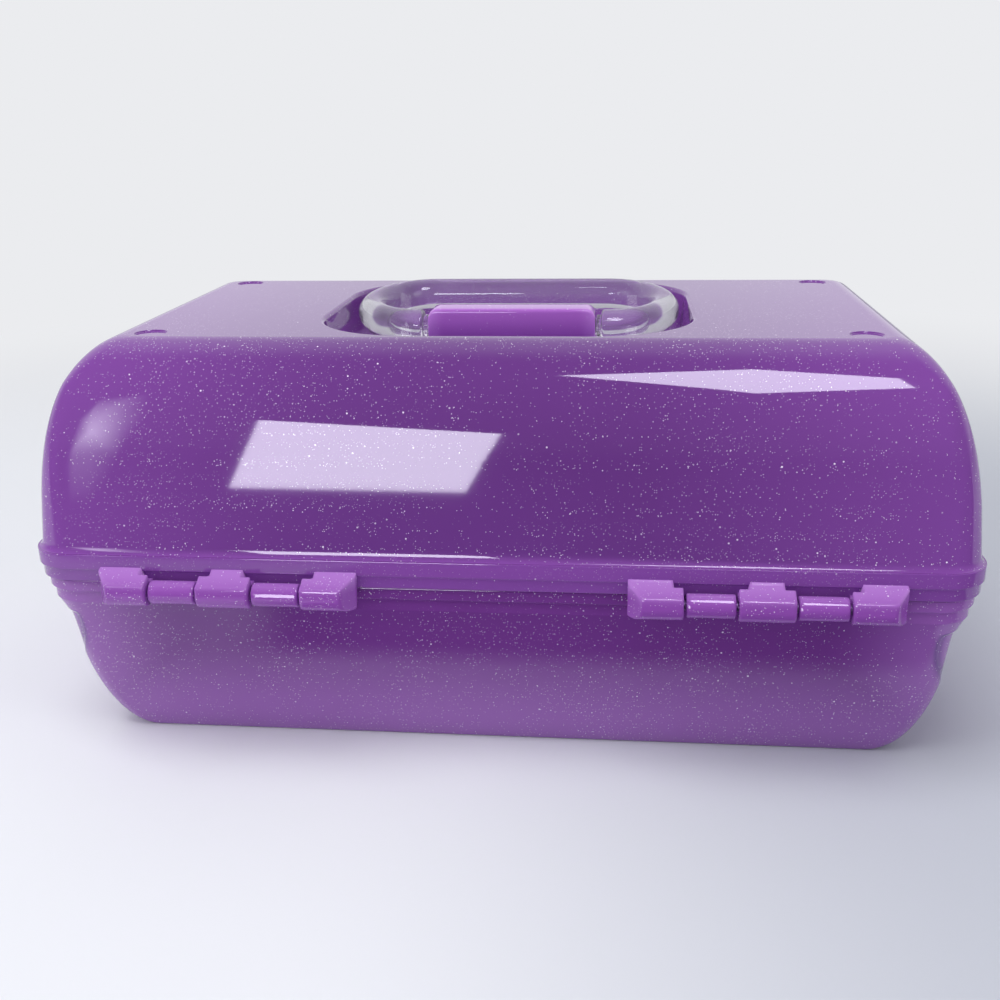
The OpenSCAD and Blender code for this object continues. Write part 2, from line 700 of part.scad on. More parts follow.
module latch() {
    at = [latch_y, latch_z];
    color(clear_colour, 0.6) difference() {
        union() {
            rod_x(latch_eye_r, -latch_w / 2, latch_w / 2, at);
            push_x(-latch_w / 2, latch_w / 2, at) latch_outline();
        }
        rod_x(latch_pin_r + pin_fit, -latch_w, latch_w, at);
    }
}

module tray_arm() {
    difference() {
        bar_x(arm_half_w, arm_x, arm_x + arm_t, arm_base, arm_upper);
        for (at = [arm_base, arm_lower, arm_upper])
            rod_x(link_pin_r + pin_fit, arm_x - over, arm_x + arm_t + over, at);
        rod_x(head_r + slide_gap, arm_x - over, arm_x + head_t + slide_gap, arm_base);
    }
}
module tray_arm_left() { color(tray_colour) mirror([1, 0, 0]) tray_arm(); }
module tray_arm_right() { color(tray_colour) tray_arm(); }

// A tray's section: rounded floor edge, upright wall, small flange; t is 0 outside
function tray_section(z0, t) = concat(
    [for (i = [0:lip_steps]) let (a = 90 * i / lip_steps, r = tray_floor_r - t)
        [tray_flange + tray_floor_r - r * sin(a), z0 + tray_floor_r - r * cos(a)]],
    t > 0 ? [[tray_flange + t, z0 + tray_h + over]] :
        [[tray_flange, z0 + tray_h - tray_flange_t], [0, z0 + tray_h - tray_flange_t], [0, z0 + tray_h]]);

// A cross wall or divider of a tray, from y0 to y1 at x
module tray_cross(x, t, y0, y1, z0, h) {
    translate([x - t / 2, y0, z0]) cube([t, y1 - y0, h]);
}

// Two upright ribs that hold a loose divider, on the front and the rear wall
module divider_guides(x, y0, y1, z0) {
    gap = divider_t / 2 + slide_gap / 2;
    for (s = [-1, 1], y = [y0, y1 - rib_w])
        translate([x + s * (gap + rib_w / 2) - rib_w / 2, y, z0])
            cube([rib_w, rib_w, tray_h - 2 * divider_low]);
}

module tray_body(z0, hang, cross_xs, divider_xs, split_y) {
    difference() {
        union() {
            difference() {
                translate([0, tray_y, 0])
                    form(tray_half_l, tray_d / 2, tray_r, tray_section(z0, 0));
                translate([0, tray_y, 0])
                    form(tray_half_l, tray_d / 2, tray_r, tray_section(z0, tray_wall));
            }
            for (x = cross_xs) tray_cross(x, tray_wall, tray_y - tray_in_y - tray_wall / 2,
                tray_y + tray_in_y + tray_wall / 2, z0 + tray_wall / 2, tray_h - divider_low);
            if (split_y != undef) translate([cross_xs[0], split_y - tray_wall / 2, z0 + tray_wall / 2])
                cube([cross_xs[len(cross_xs) - 1] - cross_xs[0], tray_wall, tray_h - divider_low]);
            for (x = divider_xs) divider_guides(x, tray_y - tray_in_y, tray_y + tray_in_y, z0 + tray_wall);
            both_ends() bar_x(ear_half_w, tray_half_l - ear_t, tray_half_l,
                [tray_y + tray_d / 2 - ear_hold, z0 + tray_h - hang[2]], [hang[0], hang[1]]);
            both_ends() bar_x(ear_half_w, tray_half_l - ear_t, tray_half_l,
                hang[3], [hang[3][0], z0 + tray_h / 2]);
        }
        both_ends() {
            rod_x(link_pin_r + pin_fit, tray_half_l - ear_t - over, tray_half_l + over, [hang[0], hang[1]]);
            rod_x(link_pin_r + pin_fit, tray_half_l - ear_t - over, tray_half_l + over, hang[3]);
        }
    }
}

module tray_upper() {
    color(tray_colour) tray_body(upper_z, [lid_upper[0], lid_upper[1], tray_h / 2, arm_upper], upper_xs,
        upper_divider_xs, tray_y);
}
module tray_lower() {
    color(tray_colour) tray_body(lower_z, [lid_lower[0], lid_lower[1], lower_hang, arm_lower], [0],
        lower_divider_xs, undef);
}

module tray_pins(at) {
    color(steel_colour) both_ends()
        headed_pin(arm_x + arm_t + slide_gap / 2 + head_t, tray_half_l - ear_t + slide_gap, at);
}
module tray_upper_pins() { tray_pins(arm_upper); }
module tray_lower_pins() { tray_pins(arm_lower); }

// Loose dividers, their lower corners cut so that they clear the rounded edge of the floor
module dividers(xs, z0) {
    half = tray_in_y - slide_gap;
    low = z0 + tray_wall + slide_gap / 2;
    high = low + tray_h - 2 * divider_low;
    cut = tray_floor_r - tray_wall;
    for (x = xs) push_x(x - divider_t / 2, x + divider_t / 2, [tray_y, 0])
        polygon([[-half + cut, low], [half - cut, low], [half, low + cut], [half, high],
            [-half, high], [-half, low + cut]]);
}
module upper_dividers() { color(clear_colour) dividers(upper_divider_xs, upper_z); }
module lower_dividers() { color(clear_colour) dividers(lower_divider_xs, lower_z); }

base_tub();
hinge_pins();
arm_pivot_pins();
lid_shell();
handle_saddle();
saddle_screws();
mirror_frame();
mirror_glass();
mirror_screws();
latch_pin();
lid_tray_pins();
handle_grip();
latch();
tray_arm_left();
tray_arm_right();
tray_upper();
tray_upper_pins();
upper_dividers();
tray_lower();
tray_lower_pins();
lower_dividers();
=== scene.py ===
# %% [markdown]
# # A moulded makeup case
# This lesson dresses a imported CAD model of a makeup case: a deep base, a domed lid, a clear
# swinging handle, two hinges and two trays that rise as the lid opens. The CAD model is the
# fixed frame. It gives every place and size, and this file gives the finer surfaces, the
# glitter plastic, the light and the camera.
# %% Load the frame
import bpy
import numpy as np
from mathutils import Matrix, Vector
from mathutils.bvhtree import BVHTree
from mathutils.geometry import delaunay_2d_cdt
from mathutils.interpolate import poly_3d_calc


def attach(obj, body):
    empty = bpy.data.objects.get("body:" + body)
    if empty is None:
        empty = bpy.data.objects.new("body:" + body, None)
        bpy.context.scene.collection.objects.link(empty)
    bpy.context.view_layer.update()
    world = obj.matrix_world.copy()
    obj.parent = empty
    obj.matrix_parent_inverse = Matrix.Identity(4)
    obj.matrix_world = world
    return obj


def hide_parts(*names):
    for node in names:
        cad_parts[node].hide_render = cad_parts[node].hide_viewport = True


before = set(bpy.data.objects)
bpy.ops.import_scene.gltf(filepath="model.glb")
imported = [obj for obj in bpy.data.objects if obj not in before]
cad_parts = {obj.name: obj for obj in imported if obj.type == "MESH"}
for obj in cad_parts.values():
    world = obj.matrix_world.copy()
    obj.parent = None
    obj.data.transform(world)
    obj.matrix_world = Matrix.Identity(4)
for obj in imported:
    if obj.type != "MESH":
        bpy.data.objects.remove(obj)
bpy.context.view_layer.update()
MM = 0.001
SIDES = ((1, "left"), (-1, "right"))

# %% [markdown]
# ## The camera
# The camera stands behind the case, a little above it, where the hinges face us. Its place and
# direction were worked out from points whose real place is known, such as the four dimples of
# the top and the hinge ends. The lens is given by its focal length on a 36 mm sensor.
# %% Camera
def unit(vector):
    """The vector of length one that points the same way."""
    return vector / np.linalg.norm(vector)


SENSOR_W, FOCAL_SHARE, ROLL = 36.0, 1.15, np.radians(-1.0)
eye = np.array([-41.4, 456.0, 229.5]) * MM
look = unit(np.array([0.0988, -0.9398, -0.3272]))
image_right = np.array([-0.9945, -0.1045, 0.0])
image_right = unit(image_right - look * (image_right @ look))
image_up = np.cross(image_right, look)
camera_data = bpy.data.cameras.new("camera")
camera_data.sensor_width = SENSOR_W
camera_data.lens = FOCAL_SHARE * SENSOR_W
camera_data.clip_start = 0.01
camera = bpy.data.objects.new("camera", camera_data)
turn = Matrix([[image_right[i], image_up[i], -look[i]] for i in range(3)]).to_4x4()
camera.matrix_world = Matrix.Translation(Vector(eye)) @ turn @ Matrix.Rotation(ROLL, 4, "Z")
bpy.context.scene.collection.objects.link(camera)
bpy.context.scene.camera = camera
print("camera height over the floor:", round(eye[2], 3), "m")

# %% [markdown]
# ## Surfaces from arrays
# A moulded shell is a stack of outlines, each a rounded rectangle. If every outline has the
# same number of points, the stack is a grid, and a grid is easily skinned with four-sided
# faces. The helpers below make such grids with whole-array arithmetic, because a loop over
# vertices is slow and hides the shape's formula.
# %% Objects and faces
def add_mesh(name, points, faces, material):
    """A linked object of one material, from points in metres and faces."""
    mesh = bpy.data.meshes.new(name)
    mesh.from_pydata(points, [], faces)
    mesh.materials.append(material)
    made = bpy.data.objects.new(name, mesh)
    bpy.context.scene.collection.objects.link(made)
    return made


def make_object(name, vertices, faces, body, material, slot):
    """Turns an array of points in millimetres and a list of faces into an object that rides.
    The signed volume, a sum of the tetrahedra between the origin and the faces, is negative
    when the faces point inwards, and then they are turned."""
    points = np.asarray(vertices, float)
    quads = np.array([face for face in faces if len(face) == 4])
    a, b, c, d = (points[quads[:, corner]] for corner in range(4))
    volume = (np.einsum("ij,ij->i", a, np.cross(b, c)) + np.einsum("ij,ij->i", a, np.cross(c, d))).sum()
    for rim in (points[face] for face in faces if len(face) != 4):
        volume += (np.cross(rim[1:-1], rim[2:]) @ rim[0]).sum()
    if volume < 0:
        faces = [face[::-1] for face in faces]
    piece = add_mesh(name, (points * MM).tolist(), faces, material)
    piece.data.validate()
    piece.data.polygons.foreach_set("use_smooth", np.ones(len(piece.data.polygons), dtype=bool))
    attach(piece, body)
    print(name, len(piece.data.polygons), "faces")
    return piece


def strip(low, high, columns):
    """Faces between two closed rings, which are given by the numbers of their first points."""
    column = np.arange(columns)
    after = (column + 1) % columns
    corners = np.stack([low + column, low + after, high + after, high + column], axis=-1)
    return corners.reshape(-1, 4).tolist()


def grid_faces(rows, columns, start=0):
    """Faces of a grid whose columns close on themselves, row after row, turned outwards."""
    low = start + columns * np.arange(rows - 1)[:, None]
    return strip(low, low + columns, columns)


def skin(name, rings, body, material, slot):
    """Skins a stack of rings, an array of rows by points by three, and caps its two ends."""
    rows, columns = rings.shape[:2]
    faces = grid_faces(rows, columns)
    faces.append(list(range(columns))[::-1])
    faces.append(list(range((rows - 1) * columns, rows * columns)))
    return make_object(name, rings.reshape(-1, 3), faces, body, material, slot)


def shell_faces(outside, inside):
    """Faces of a closed shell: the outside grid from the free edge to its last ring, a cap
    there, the inside grid back to the edge, and a strip that joins the two."""
    rows, columns = outside.shape[:2]
    start = rows * columns
    faces = grid_faces(rows, columns) + grid_faces(inside.shape[0], columns, start)
    faces.append(list(range(start - columns, start)))
    faces.append(list(range(start, start + columns))[::-1])
    return faces + strip(start + (inside.shape[0] - 1) * columns, 0, columns)


# %% Outlines and paths
def pairs(first, second):
    """Two rows of numbers as the points of a path."""
    return np.stack([first, second], axis=1)


def turn_steps(start, end, count, endpoint=True):
    """Equal steps of a turn that is given in degrees, as radians."""
    return np.radians(np.linspace(start, end, count, endpoint=endpoint))


def rounded_rings(half_x, half_y, radius, z, arc=14, along_x=8, along_y=8):
    """One rounded rectangle for each height: four arcs of the radius about centres that stand
    in from the corners by that radius, joined by straight runs cut into equal steps."""
    half_x, half_y, radius, z = np.broadcast_arrays(*[np.atleast_1d(np.asarray(v, float))
                                                      for v in (half_x, half_y, radius, z)])
    parts = []
    for quarter, (sign_x, sign_y) in enumerate([(1, 1), (-1, 1), (-1, -1), (1, -1)]):
        angle = np.radians(90.0) * (quarter + np.linspace(0.0, 1.0, arc))
        x = sign_x * (half_x - radius)[:, None] + radius[:, None] * np.cos(angle)
        y = sign_y * (half_y - radius)[:, None] + radius[:, None] * np.sin(angle)
        parts.append(np.stack([x, y], axis=-1))
    run = []
    for quarter in range(4):
        steps = along_x if quarter in (0, 2) else along_y
        share = np.linspace(0.0, 1.0, steps + 1)[1:-1][None, :, None]
        start = parts[quarter][:, -1:]
        end = parts[(quarter + 1) % 4][:, :1]
        run += [parts[quarter], start + (end - start) * share]
    flat = np.concatenate(run, axis=1)
    height = np.repeat(z[:, None, None], flat.shape[1], axis=1)
    return np.concatenate([flat, height], axis=-1)


def soften(path, radius):
    """Rounds the inner corners of an open path: each corner becomes a curve that starts and
    ends the given distance from it, a quadratic blend between the two sides."""
    path = np.asarray(path, float)
    out = [path[:1]]
    share = np.linspace(0.0, 1.0, 5)[:, None]
    for before, corner, after in zip(path[:-2], path[1:-1], path[2:]):
        start, end = (corner + unit(way) * min(radius, np.linalg.norm(way) / 2.2)
                      for way in (before - corner, after - corner))
        out.append(start * (1 - share) ** 2 + 2 * corner * share * (1 - share) + end * share ** 2)
    out.append(path[-1:])
    return np.concatenate(out)


def ease(share):
    """A quarter round: 0 at 0 and 1 at 1, level at its start and upright at its end."""
    share = np.clip(share, 0.0, 1.0)
    return 1.0 - np.sqrt(1.0 - share * share)


def refine(path, longest):
    """Cuts each side of a path into equal steps that are no longer than the given length."""
    path = np.asarray(path, float)
    out = []
    for start, end in zip(path[:-1], path[1:]):
        steps = max(1, int(np.ceil(np.linalg.norm(end - start) / longest)))
        out.append(start + (end - start) * np.linspace(0.0, 1.0, steps, endpoint=False)[:, None])
    return np.concatenate(out + [path[-1:]])


# %% Turned bosses
TURNED_POINTS, CLOSE_R, BORE_MOUTH, BOSS_EDGE = 40, 0.05, 0.3, 0.35


def turned(name, profile, place, axis, body, material, slot, limit=None):
    """Turns a profile about an axis. Each row of the profile is a distance along the axis and
    a radius, and each row becomes one circle of the skin. limit may then trim the points."""
    profile = np.asarray(profile, float)
    angle = turn_steps(0.0, 360.0, TURNED_POINTS, endpoint=False)
    grid = np.empty((len(profile), TURNED_POINTS, 3))
    along, first, second = {"x": (0, 1, 2), "z": (2, 0, 1)}[axis]
    grid[..., along] = profile[:, :1]
    grid[..., first] = profile[:, 1:] * np.cos(angle)
    grid[..., second] = profile[:, 1:] * np.sin(angle)
    grid = grid + np.asarray(place, float)
    return skin(name, limit(grid) if limit else grid, body, material, slot)


def boss_profile(radius, length, bore, deep, direction=1, fillet=1.2):
    """A boss with a blind bore in its free end and a hollow curve at its root: the curve's
    radius grows by the fillet less a quarter circle."""
    turn = turn_steps(0.0, 90.0, 7)
    root = pairs(length - fillet + fillet * np.sin(turn), radius + fillet * (1 - np.cos(turn)))
    front = [[deep, CLOSE_R], [deep, bore], [BORE_MOUTH, bore], [0.0, bore + BORE_MOUTH],
             [0.0, radius - BOSS_EDGE], [0.1, radius - 0.1], [BOSS_EDGE, radius]]
    return np.concatenate([front, root, [[length, CLOSE_R]]]) * [direction, 1]


# %% [markdown]
# ## Colours and nodes
# Screens show colours in sRGB, but light adds up in linear values, so every hex colour goes
# through one function. A second small function adds a node, sets it and links it. The kinds
# that come often are named once, each as a type with its settings.
# %% Colour and node helpers
TIMES = ("ShaderNodeMath", {"operation": "MULTIPLY"})
LARGER = ("ShaderNodeMath", {"operation": "MAXIMUM"})
BELOW = ("ShaderNodeMath", {"operation": "LESS_THAN"})
BLEND = ("ShaderNodeMix", {"data_type": "RGBA"})
S_CURVE = ("ShaderNodeMapRange", {"interpolation_type": "SMOOTHSTEP"})


def colour(hex_value):
    """sRGB hex to linear: a short straight part near black, then a power of 2.4."""
    channels = np.array([int(hex_value[i:i + 2], 16) for i in (1, 3, 5)]) / 255.0
    linear = np.where(channels <= 0.04045, channels / 12.92, ((channels + 0.055) / 1.055) ** 2.4)
    return (*linear.tolist(), 1.0)


def node(tree, kind, settings=None, **inputs):
    """Adds a node. settings are its own values; inputs are numbers, colours, sockets or nodes.
    A node stands for its result, which a colour mix has as its third output and any other
    kind as its first."""
    made = tree.nodes.new(kind)
    for key, value in (settings or {}).items():
        setattr(made, key, value)
    for key, value in inputs.items():
        socket = made.inputs[int(key[1:]) if key[1:].isdigit() else key.replace("_", " ")]
        if isinstance(value, bpy.types.Node):
            value = value.outputs[2 if value.bl_idname == "ShaderNodeMix" else 0]
        if isinstance(value, bpy.types.NodeSocket):
            tree.links.new(value, socket)
        else:
            socket.default_value = value
    return made


def new_material(name):
    """A material with an empty node tree, and the socket that gives places in metres."""
    material = bpy.data.materials.new(name)
    material.use_nodes = True
    material.node_tree.nodes.clear()
    position = node(material.node_tree, "ShaderNodeTexCoord").outputs["Object"]
    return material, material.node_tree, position


def combine(tree, kind, parts):
    """Joins values one after another, as their product or as the largest of them."""
    total = parts[0]
    for part in parts[1:]:
        total = node(tree, *kind, i0=total, i1=part)
    return total


def place_mask(tree, position, groups):
    """Says where on a piece something is so. A step along X or Y counts both sides alike, and
    it rises in an S-curve from its first distance to its second, whichever is the larger. The
    steps of a group are multiplied, and the largest group wins."""
    parts = node(tree, "ShaderNodeSeparateXYZ", Vector=position)
    along = {axis: node(tree, "ShaderNodeMath", {"operation": "ABSOLUTE"}, i0=parts.outputs[axis])
             for axis in "XYZ"}
    products = []
    for group in groups:
        steps = [node(tree, *S_CURVE, Value=along[axis], From_Min=start * MM, From_Max=end * MM)
                 for axis, start, end in group]
        products.append(combine(tree, TIMES, steps))
    return combine(tree, LARGER, products)


# %% [markdown]
# ## Glitter plastic
# The case is injection-moulded polystyrene, tinted purple, with flakes of metallised film
# mixed in. The flakes lie at many depths; a few are painted bright as glints, a painted highlight,
# and most only lighten the tint.
# Three sizes of flake are drawn, each as a small disc about the centre of a Voronoi cell. A
# random number for each cell leaves many cells empty, so that the flakes don't form a grid.
# Real flakes are 0.2 mm; they are drawn from 0.28 to 0.62 mm so that they show in the render.
# %% Glitter plastic
FLAKES = ((0.75, 0.28, 0.6), (1.5, 0.38, 0.5), (3.2, 0.62, 0.34))
DRIFT_SCALE, CLOUD_SCALE, GLINT_POWER = 28.0, 9.0, 1.8
# The second colour is a painted shade, laid just inside the rims of the base's dishes.
FLAKE_TINT, RIM_SHADE_TINT = "#f8f0fc", "#55217c"


def flake_layer(tree, position, spacing, size, kept):
    """Brightness of the flakes: a disc of the size in a kept share of the cells, each with a random
    painted glint. A slow noise gathers them in drifts, as the melt carries them when it fills the mould."""
    cells = node(tree, "ShaderNodeTexVoronoi", Vector=position, Scale=1.0 / (spacing * MM), Randomness=1.0)
    edge = node(tree, *BELOW, i0=cells.outputs["Distance"], i1=size / 2.0 / spacing)
    chance = node(tree, "ShaderNodeSeparateColor", Color=cells.outputs["Color"])
    drift = node(tree, "ShaderNodeTexNoise", Vector=position, Scale=DRIFT_SCALE, Detail=2.0)
    share = node(tree, "ShaderNodeMapRange", Value=drift, From_Min=0.35, From_Max=0.65,
                 To_Min=kept * 0.45, To_Max=kept * 1.5)
    drawn = node(tree, *BELOW, i0=chance, i1=share)
    glint = node(tree, "ShaderNodeMath", {"operation": "POWER"}, i0=chance.outputs[1], i1=GLINT_POWER)
    return combine(tree, TIMES, [edge, drawn, glint])


def glitter_plastic(name, deep, pale, lit, places, roughness=0.04):
    """Tinted glossy plastic: a slow cloud between a deep and a pale tint, a lighter tint painted as
    light where light comes through the wall, and three layers of flakes over all of it. Where a
    piece has an attribute rim_shade, the tint deepens by it into a painted shade."""
    material, tree, position = new_material(name)
    cloud = node(tree, "ShaderNodeTexNoise", Vector=position, Scale=CLOUD_SCALE, Detail=3.0)
    tint = node(tree, *BLEND, Factor=cloud, i6=colour(deep), i7=colour(pale))
    through = node(tree, *BLEND, Factor=place_mask(tree, position, places), i6=tint, i7=colour(lit))
    # rim_shade darkens the tint: painted shade.
    step = node(tree, "ShaderNodeAttribute", {"attribute_name": "rim_shade"})
    shaded = node(tree, *BLEND, Factor=step.outputs["Fac"], i6=through, i7=colour(RIM_SHADE_TINT))
    flakes = combine(tree, LARGER, [flake_layer(tree, position, *layer) for layer in FLAKES])
    sparkle = node(tree, *BLEND, Factor=flakes, i6=shaded, i7=colour(FLAKE_TINT))
    shader = node(tree, "ShaderNodeBsdfPrincipled", Base_Color=sparkle, Roughness=roughness, IOR=1.55)
    node(tree, "ShaderNodeOutputMaterial", Surface=shader)
    return material


# %% The glitter plastics
# A lighter tint is painted on as light: on the lid's wall at its ends and at its hem, and in the
# handle's pocket. On the base it is painted at its ends and low down, where light from the floor comes
# through.
lid_places = [[("X", 122, 162)], [("X", 30, 200)], [("Z", 86, 80)],
              [("X", 74, 70), ("Y", 64, 62.7), ("Z", 152.9, 151)]]
base_places = [[("X", 112, 158)], [("Z", 48, 6)]]
lid_plastic = glitter_plastic("lid_glitter_polystyrene", "#5f3177", "#6b3988", "#80489d", lid_places)
base_plastic = glitter_plastic("base_glitter_polystyrene", "#652f7c", "#70388a", "#925cac", base_places, 0.06)
# The thin pieces, tabs, lugs, barrels and catch, get a lighter copy of the plastic: painted light, as if
# light came through them, lighter still above 77 mm.
lit_thin_plastic = glitter_plastic("thin_glitter_polystyrene_lit", "#8445a0", "#8f4fab", "#a873c2", [[("Z", 71, 77)]])
# The saddle gets a lighter copy too: painted light where the pocket shades it, and a painted highlight at its
# ends.
lit_saddle_plastic = glitter_plastic("saddle_glitter_polystyrene_lit", "#a463be", "#ae6dc9", "#bb80d4",
                                 [[("X", 26, 33)]])
LID = ("lid", lid_plastic, "lid_purple")
BASE = ("base", base_plastic, "base_purple")
LIT_THIN_LID = ("lid", lit_thin_plastic, "lid_purple")
LIT_THIN_BASE = ("base", lit_thin_plastic, "base_purple")

# %% [markdown]
# ## Clear acrylic, satin plastic, steel and silvered glass
# The handle is clear acrylic: it hardly tints light and bends it strongly. The trays are a
# satin plastic of a lighter violet. Pins and screws are bright steel, and the mirror is glass
# with silver behind it, so it is drawn as a smooth metal. Real moulding grain is about 0.1 mm
# and turning marks are finer still; both are drawn coarser so that they show.
# %% The other materials
WAVE_SCALE, GRAIN_SCALE, TRAY_CLOUD_SCALE, MARK_SCALE = 60.0, 1400.0, 14.0, 500.0


def clear_acrylic(name, tint):
    """Clear plastic: most light goes through, with a faint tint and faint waves of moulding."""
    material, tree, position = new_material(name)
    waves = node(tree, "ShaderNodeTexNoise", Vector=position, Scale=WAVE_SCALE, Detail=1.0)
    bump = node(tree, "ShaderNodeBump", Height=waves, Strength=0.05, Distance=0.0005)
    shader = node(tree, "ShaderNodeBsdfPrincipled", Base_Color=colour(tint), Roughness=0.03, IOR=1.49,
                  Transmission_Weight=0.93, Normal=bump)
    node(tree, "ShaderNodeOutputMaterial", Surface=shader)
    return material


def satin_plastic(name, tint, pale):
    """Moulded plastic with a fine spark-eroded grain that scatters its gloss."""
    material, tree, position = new_material(name)
    grain = node(tree, "ShaderNodeTexNoise", Vector=position, Scale=GRAIN_SCALE, Detail=2.0)
    cloud = node(tree, "ShaderNodeTexNoise", Vector=position, Scale=TRAY_CLOUD_SCALE, Detail=2.0)
    mixed = node(tree, *BLEND, Factor=cloud, i6=colour(tint), i7=colour(pale))
    bump = node(tree, "ShaderNodeBump", Height=grain, Strength=0.12, Distance=0.0002)
    shader = node(tree, "ShaderNodeBsdfPrincipled", Base_Color=mixed, Roughness=0.38, IOR=1.5, Normal=bump)
    node(tree, "ShaderNodeOutputMaterial", Surface=shader)
    return material


def metal(name, tint, roughness, streak):
    """Metal: its tint with a fine unevenness in the roughness."""
    material, tree, position = new_material(name)
    marks = node(tree, "ShaderNodeTexNoise", Vector=position, Scale=MARK_SCALE, Detail=2.0)
    rough = node(tree, "ShaderNodeMapRange", Value=marks, To_Min=roughness, To_Max=roughness + streak)
    shader = node(tree, "ShaderNodeBsdfPrincipled", Base_Color=colour(tint), Metallic=1.0, Roughness=rough)
    node(tree, "ShaderNodeOutputMaterial", Surface=shader)
    return material


handle_plastic = clear_acrylic("handle_clear_acrylic", "#f6f5fb")
tray_plastic = satin_plastic("tray_satin_polypropylene", "#a98ac4", "#b396cc")
pin_steel = metal("pin_bright_steel", "#b9bbbf", 0.22, 0.12)
hidden_steel = metal("hinge_pin_dull_steel", "#8a6f9c", 0.45, 0.1)
mirror_silver = metal("mirror_silvered_glass", "#dfe4e6", 0.015, 0.01)

# %% [markdown]
# ## The lid
# The lid is one thin moulded shell. Its profile starts at the lower edge, climbs over two flat
# bands and a hollow curve, leans in up the wall and rounds over to the flat top, then drops
# into the handle's pocket. The inside repeats it a wall's thickness further in. Both together
# are one long path, and each point of the path carries one rounded rectangle.
# %% Sizes of the case, in millimetres
HALF_L, HALF_D, RIM_R = 166.0, 97.8, 15.0
CASE_H, PART_H, WALL = 153.0, 71.4, 2.4
HEM_H, HEM_IN, SKIRT_H, SKIRT_CURVE_H, SKIRT_IN = 4.6, 0.9, 5.6, 3.0, 1.9
LID_LEAN, END_ROUND_H, END_ROUND_RUN, SIDE_ROUND_H, SIDE_ROUND_RUN = 0.1, 55.0, 23.0, 35.0, 23.4
LID_CORNER_SHARE, LEAST_R = 0.75, 6.0
SKIRT_TOP = PART_H + HEM_H + SKIRT_H
LID_WALL_Z = SKIRT_TOP + SKIRT_CURVE_H
POCKET_L, POCKET_D, POCKET_R, POCKET_DEEP = 69.0, 62.6, 37.5, 16.0
POCKET_LIP_R, POCKET_LEAN, POCKET_FLOOR_R = 1.8, 1.0, 5.0
EDGE_R = 0.45


def lid_insets(z, offset):
    """How far the lid's wall stands in at height z, at the ends and at the sides: a steady
    lean plus a quarter round that ends level with the top."""
    lean = SKIRT_IN + LID_LEAN * (z - LID_WALL_Z)
    end = lean + END_ROUND_RUN * ease((z - CASE_H + END_ROUND_H) / (END_ROUND_H - offset))
    side = lean + SIDE_ROUND_RUN * ease((z - CASE_H + SIDE_ROUND_H) / (SIDE_ROUND_H - offset))
    return end + offset, side + offset


def lid_rings(z, offset, **cuts):
    """The lid's outlines at the heights z; the corner's radius shrinks as the sides lean in."""
    end, side = lid_insets(z, offset)
    radius = np.maximum(LEAST_R, RIM_R - LID_CORNER_SHARE * (side - offset)) - offset
    return rounded_rings(HALF_L - end, HALF_D - side, radius, z, **cuts)


def band_rings(path, offset, share, **cuts):
    """Outlines of the bands at the rim, from a path of insets and heights."""
    inset, z = np.asarray(path, float).T
    radius = np.maximum(LEAST_R, RIM_R - share * inset) - offset
    return rounded_rings(HALF_L - inset - offset, HALF_D - inset - offset, radius, z, **cuts)


def pocket_rings(path, **cuts):
    """Outlines of the pocket: a path of insets from the pocket's own outline, and heights."""
    inset, z = np.asarray(path, float).T
    return rounded_rings(POCKET_L - inset, POCKET_D - inset, POCKET_R - inset, z, **cuts)


# %% The lid's rings outside
lid_cuts = dict(arc=14, along_x=14, along_y=10)
lid_start = CASE_H - END_ROUND_H
turns = turn_steps(0.0, 90.0, 34)
outer_heights = np.concatenate([np.linspace(LID_WALL_Z + 0.4, lid_start, 6)[:-1],
                                lid_start + END_ROUND_H * np.sin(turns)])
hollow = turn_steps(10.0, 90.0, 7)
hem = [[HEM_IN + EDGE_R, PART_H], [HEM_IN + 0.1, PART_H + 0.12], [HEM_IN, PART_H + EDGE_R]]
bands = soften([[HEM_IN, PART_H], [HEM_IN, PART_H + HEM_H - 0.1], [0.0, PART_H + HEM_H + 0.1],
                [0.0, SKIRT_TOP], [SKIRT_IN * np.sin(hollow[0]), SKIRT_TOP + 0.05]], EDGE_R)[2:]
hollow_path = pairs(SKIRT_IN * np.sin(hollow), LID_WALL_Z - SKIRT_CURVE_H * np.cos(hollow))
outer_band = np.concatenate([hem, bands, hollow_path])
lip_turn = turn_steps(0.0, 90.0, 7)
pocket_lip = pairs(-POCKET_LIP_R * (1 - np.sin(lip_turn)), CASE_H - POCKET_LIP_R * (1 - np.cos(lip_turn)))
floor_turn = turn_steps(0.0, 90.0, 9)
floor_curve = pairs(np.cos(floor_turn), np.sin(floor_turn))
pocket_floor_z = CASE_H - POCKET_DEEP
floor_centre = np.array([POCKET_LEAN + POCKET_FLOOR_R, pocket_floor_z + POCKET_FLOOR_R])
pocket_path = np.concatenate([pocket_lip, floor_centre - POCKET_FLOOR_R * floor_curve])
lid_grid = np.concatenate([band_rings(outer_band, 0.0, LID_CORNER_SHARE, **lid_cuts),
                           lid_rings(outer_heights, 0.0, **lid_cuts),
                           pocket_rings(pocket_path, **lid_cuts)])
print("rings outside the lid:", len(lid_grid))

# %% The lid's rings inside
inner_turns = turns[turns < np.radians(76.0)][::-1]
inner_heights = np.concatenate([lid_start + (END_ROUND_H - WALL) * np.sin(inner_turns),
                                np.linspace(LID_WALL_Z, lid_start, 4)[:-1][::-1]])
under_floor = (floor_centre - (POCKET_FLOOR_R + WALL) * floor_curve)[::-1]
under_path = np.concatenate([under_floor, [[-WALL, inner_heights[0] + 0.19]]])
inner_hem = [[HEM_IN, SKIRT_TOP - 0.4], [HEM_IN, PART_H + EDGE_R], [HEM_IN - EDGE_R, PART_H]]
inner_grid = np.concatenate([pocket_rings(under_path, **lid_cuts),
                             lid_rings(inner_heights, WALL, **lid_cuts),
                             band_rings(inner_hem, WALL, LID_CORNER_SHARE, **lid_cuts)])
print("rings inside the lid:", len(inner_grid))

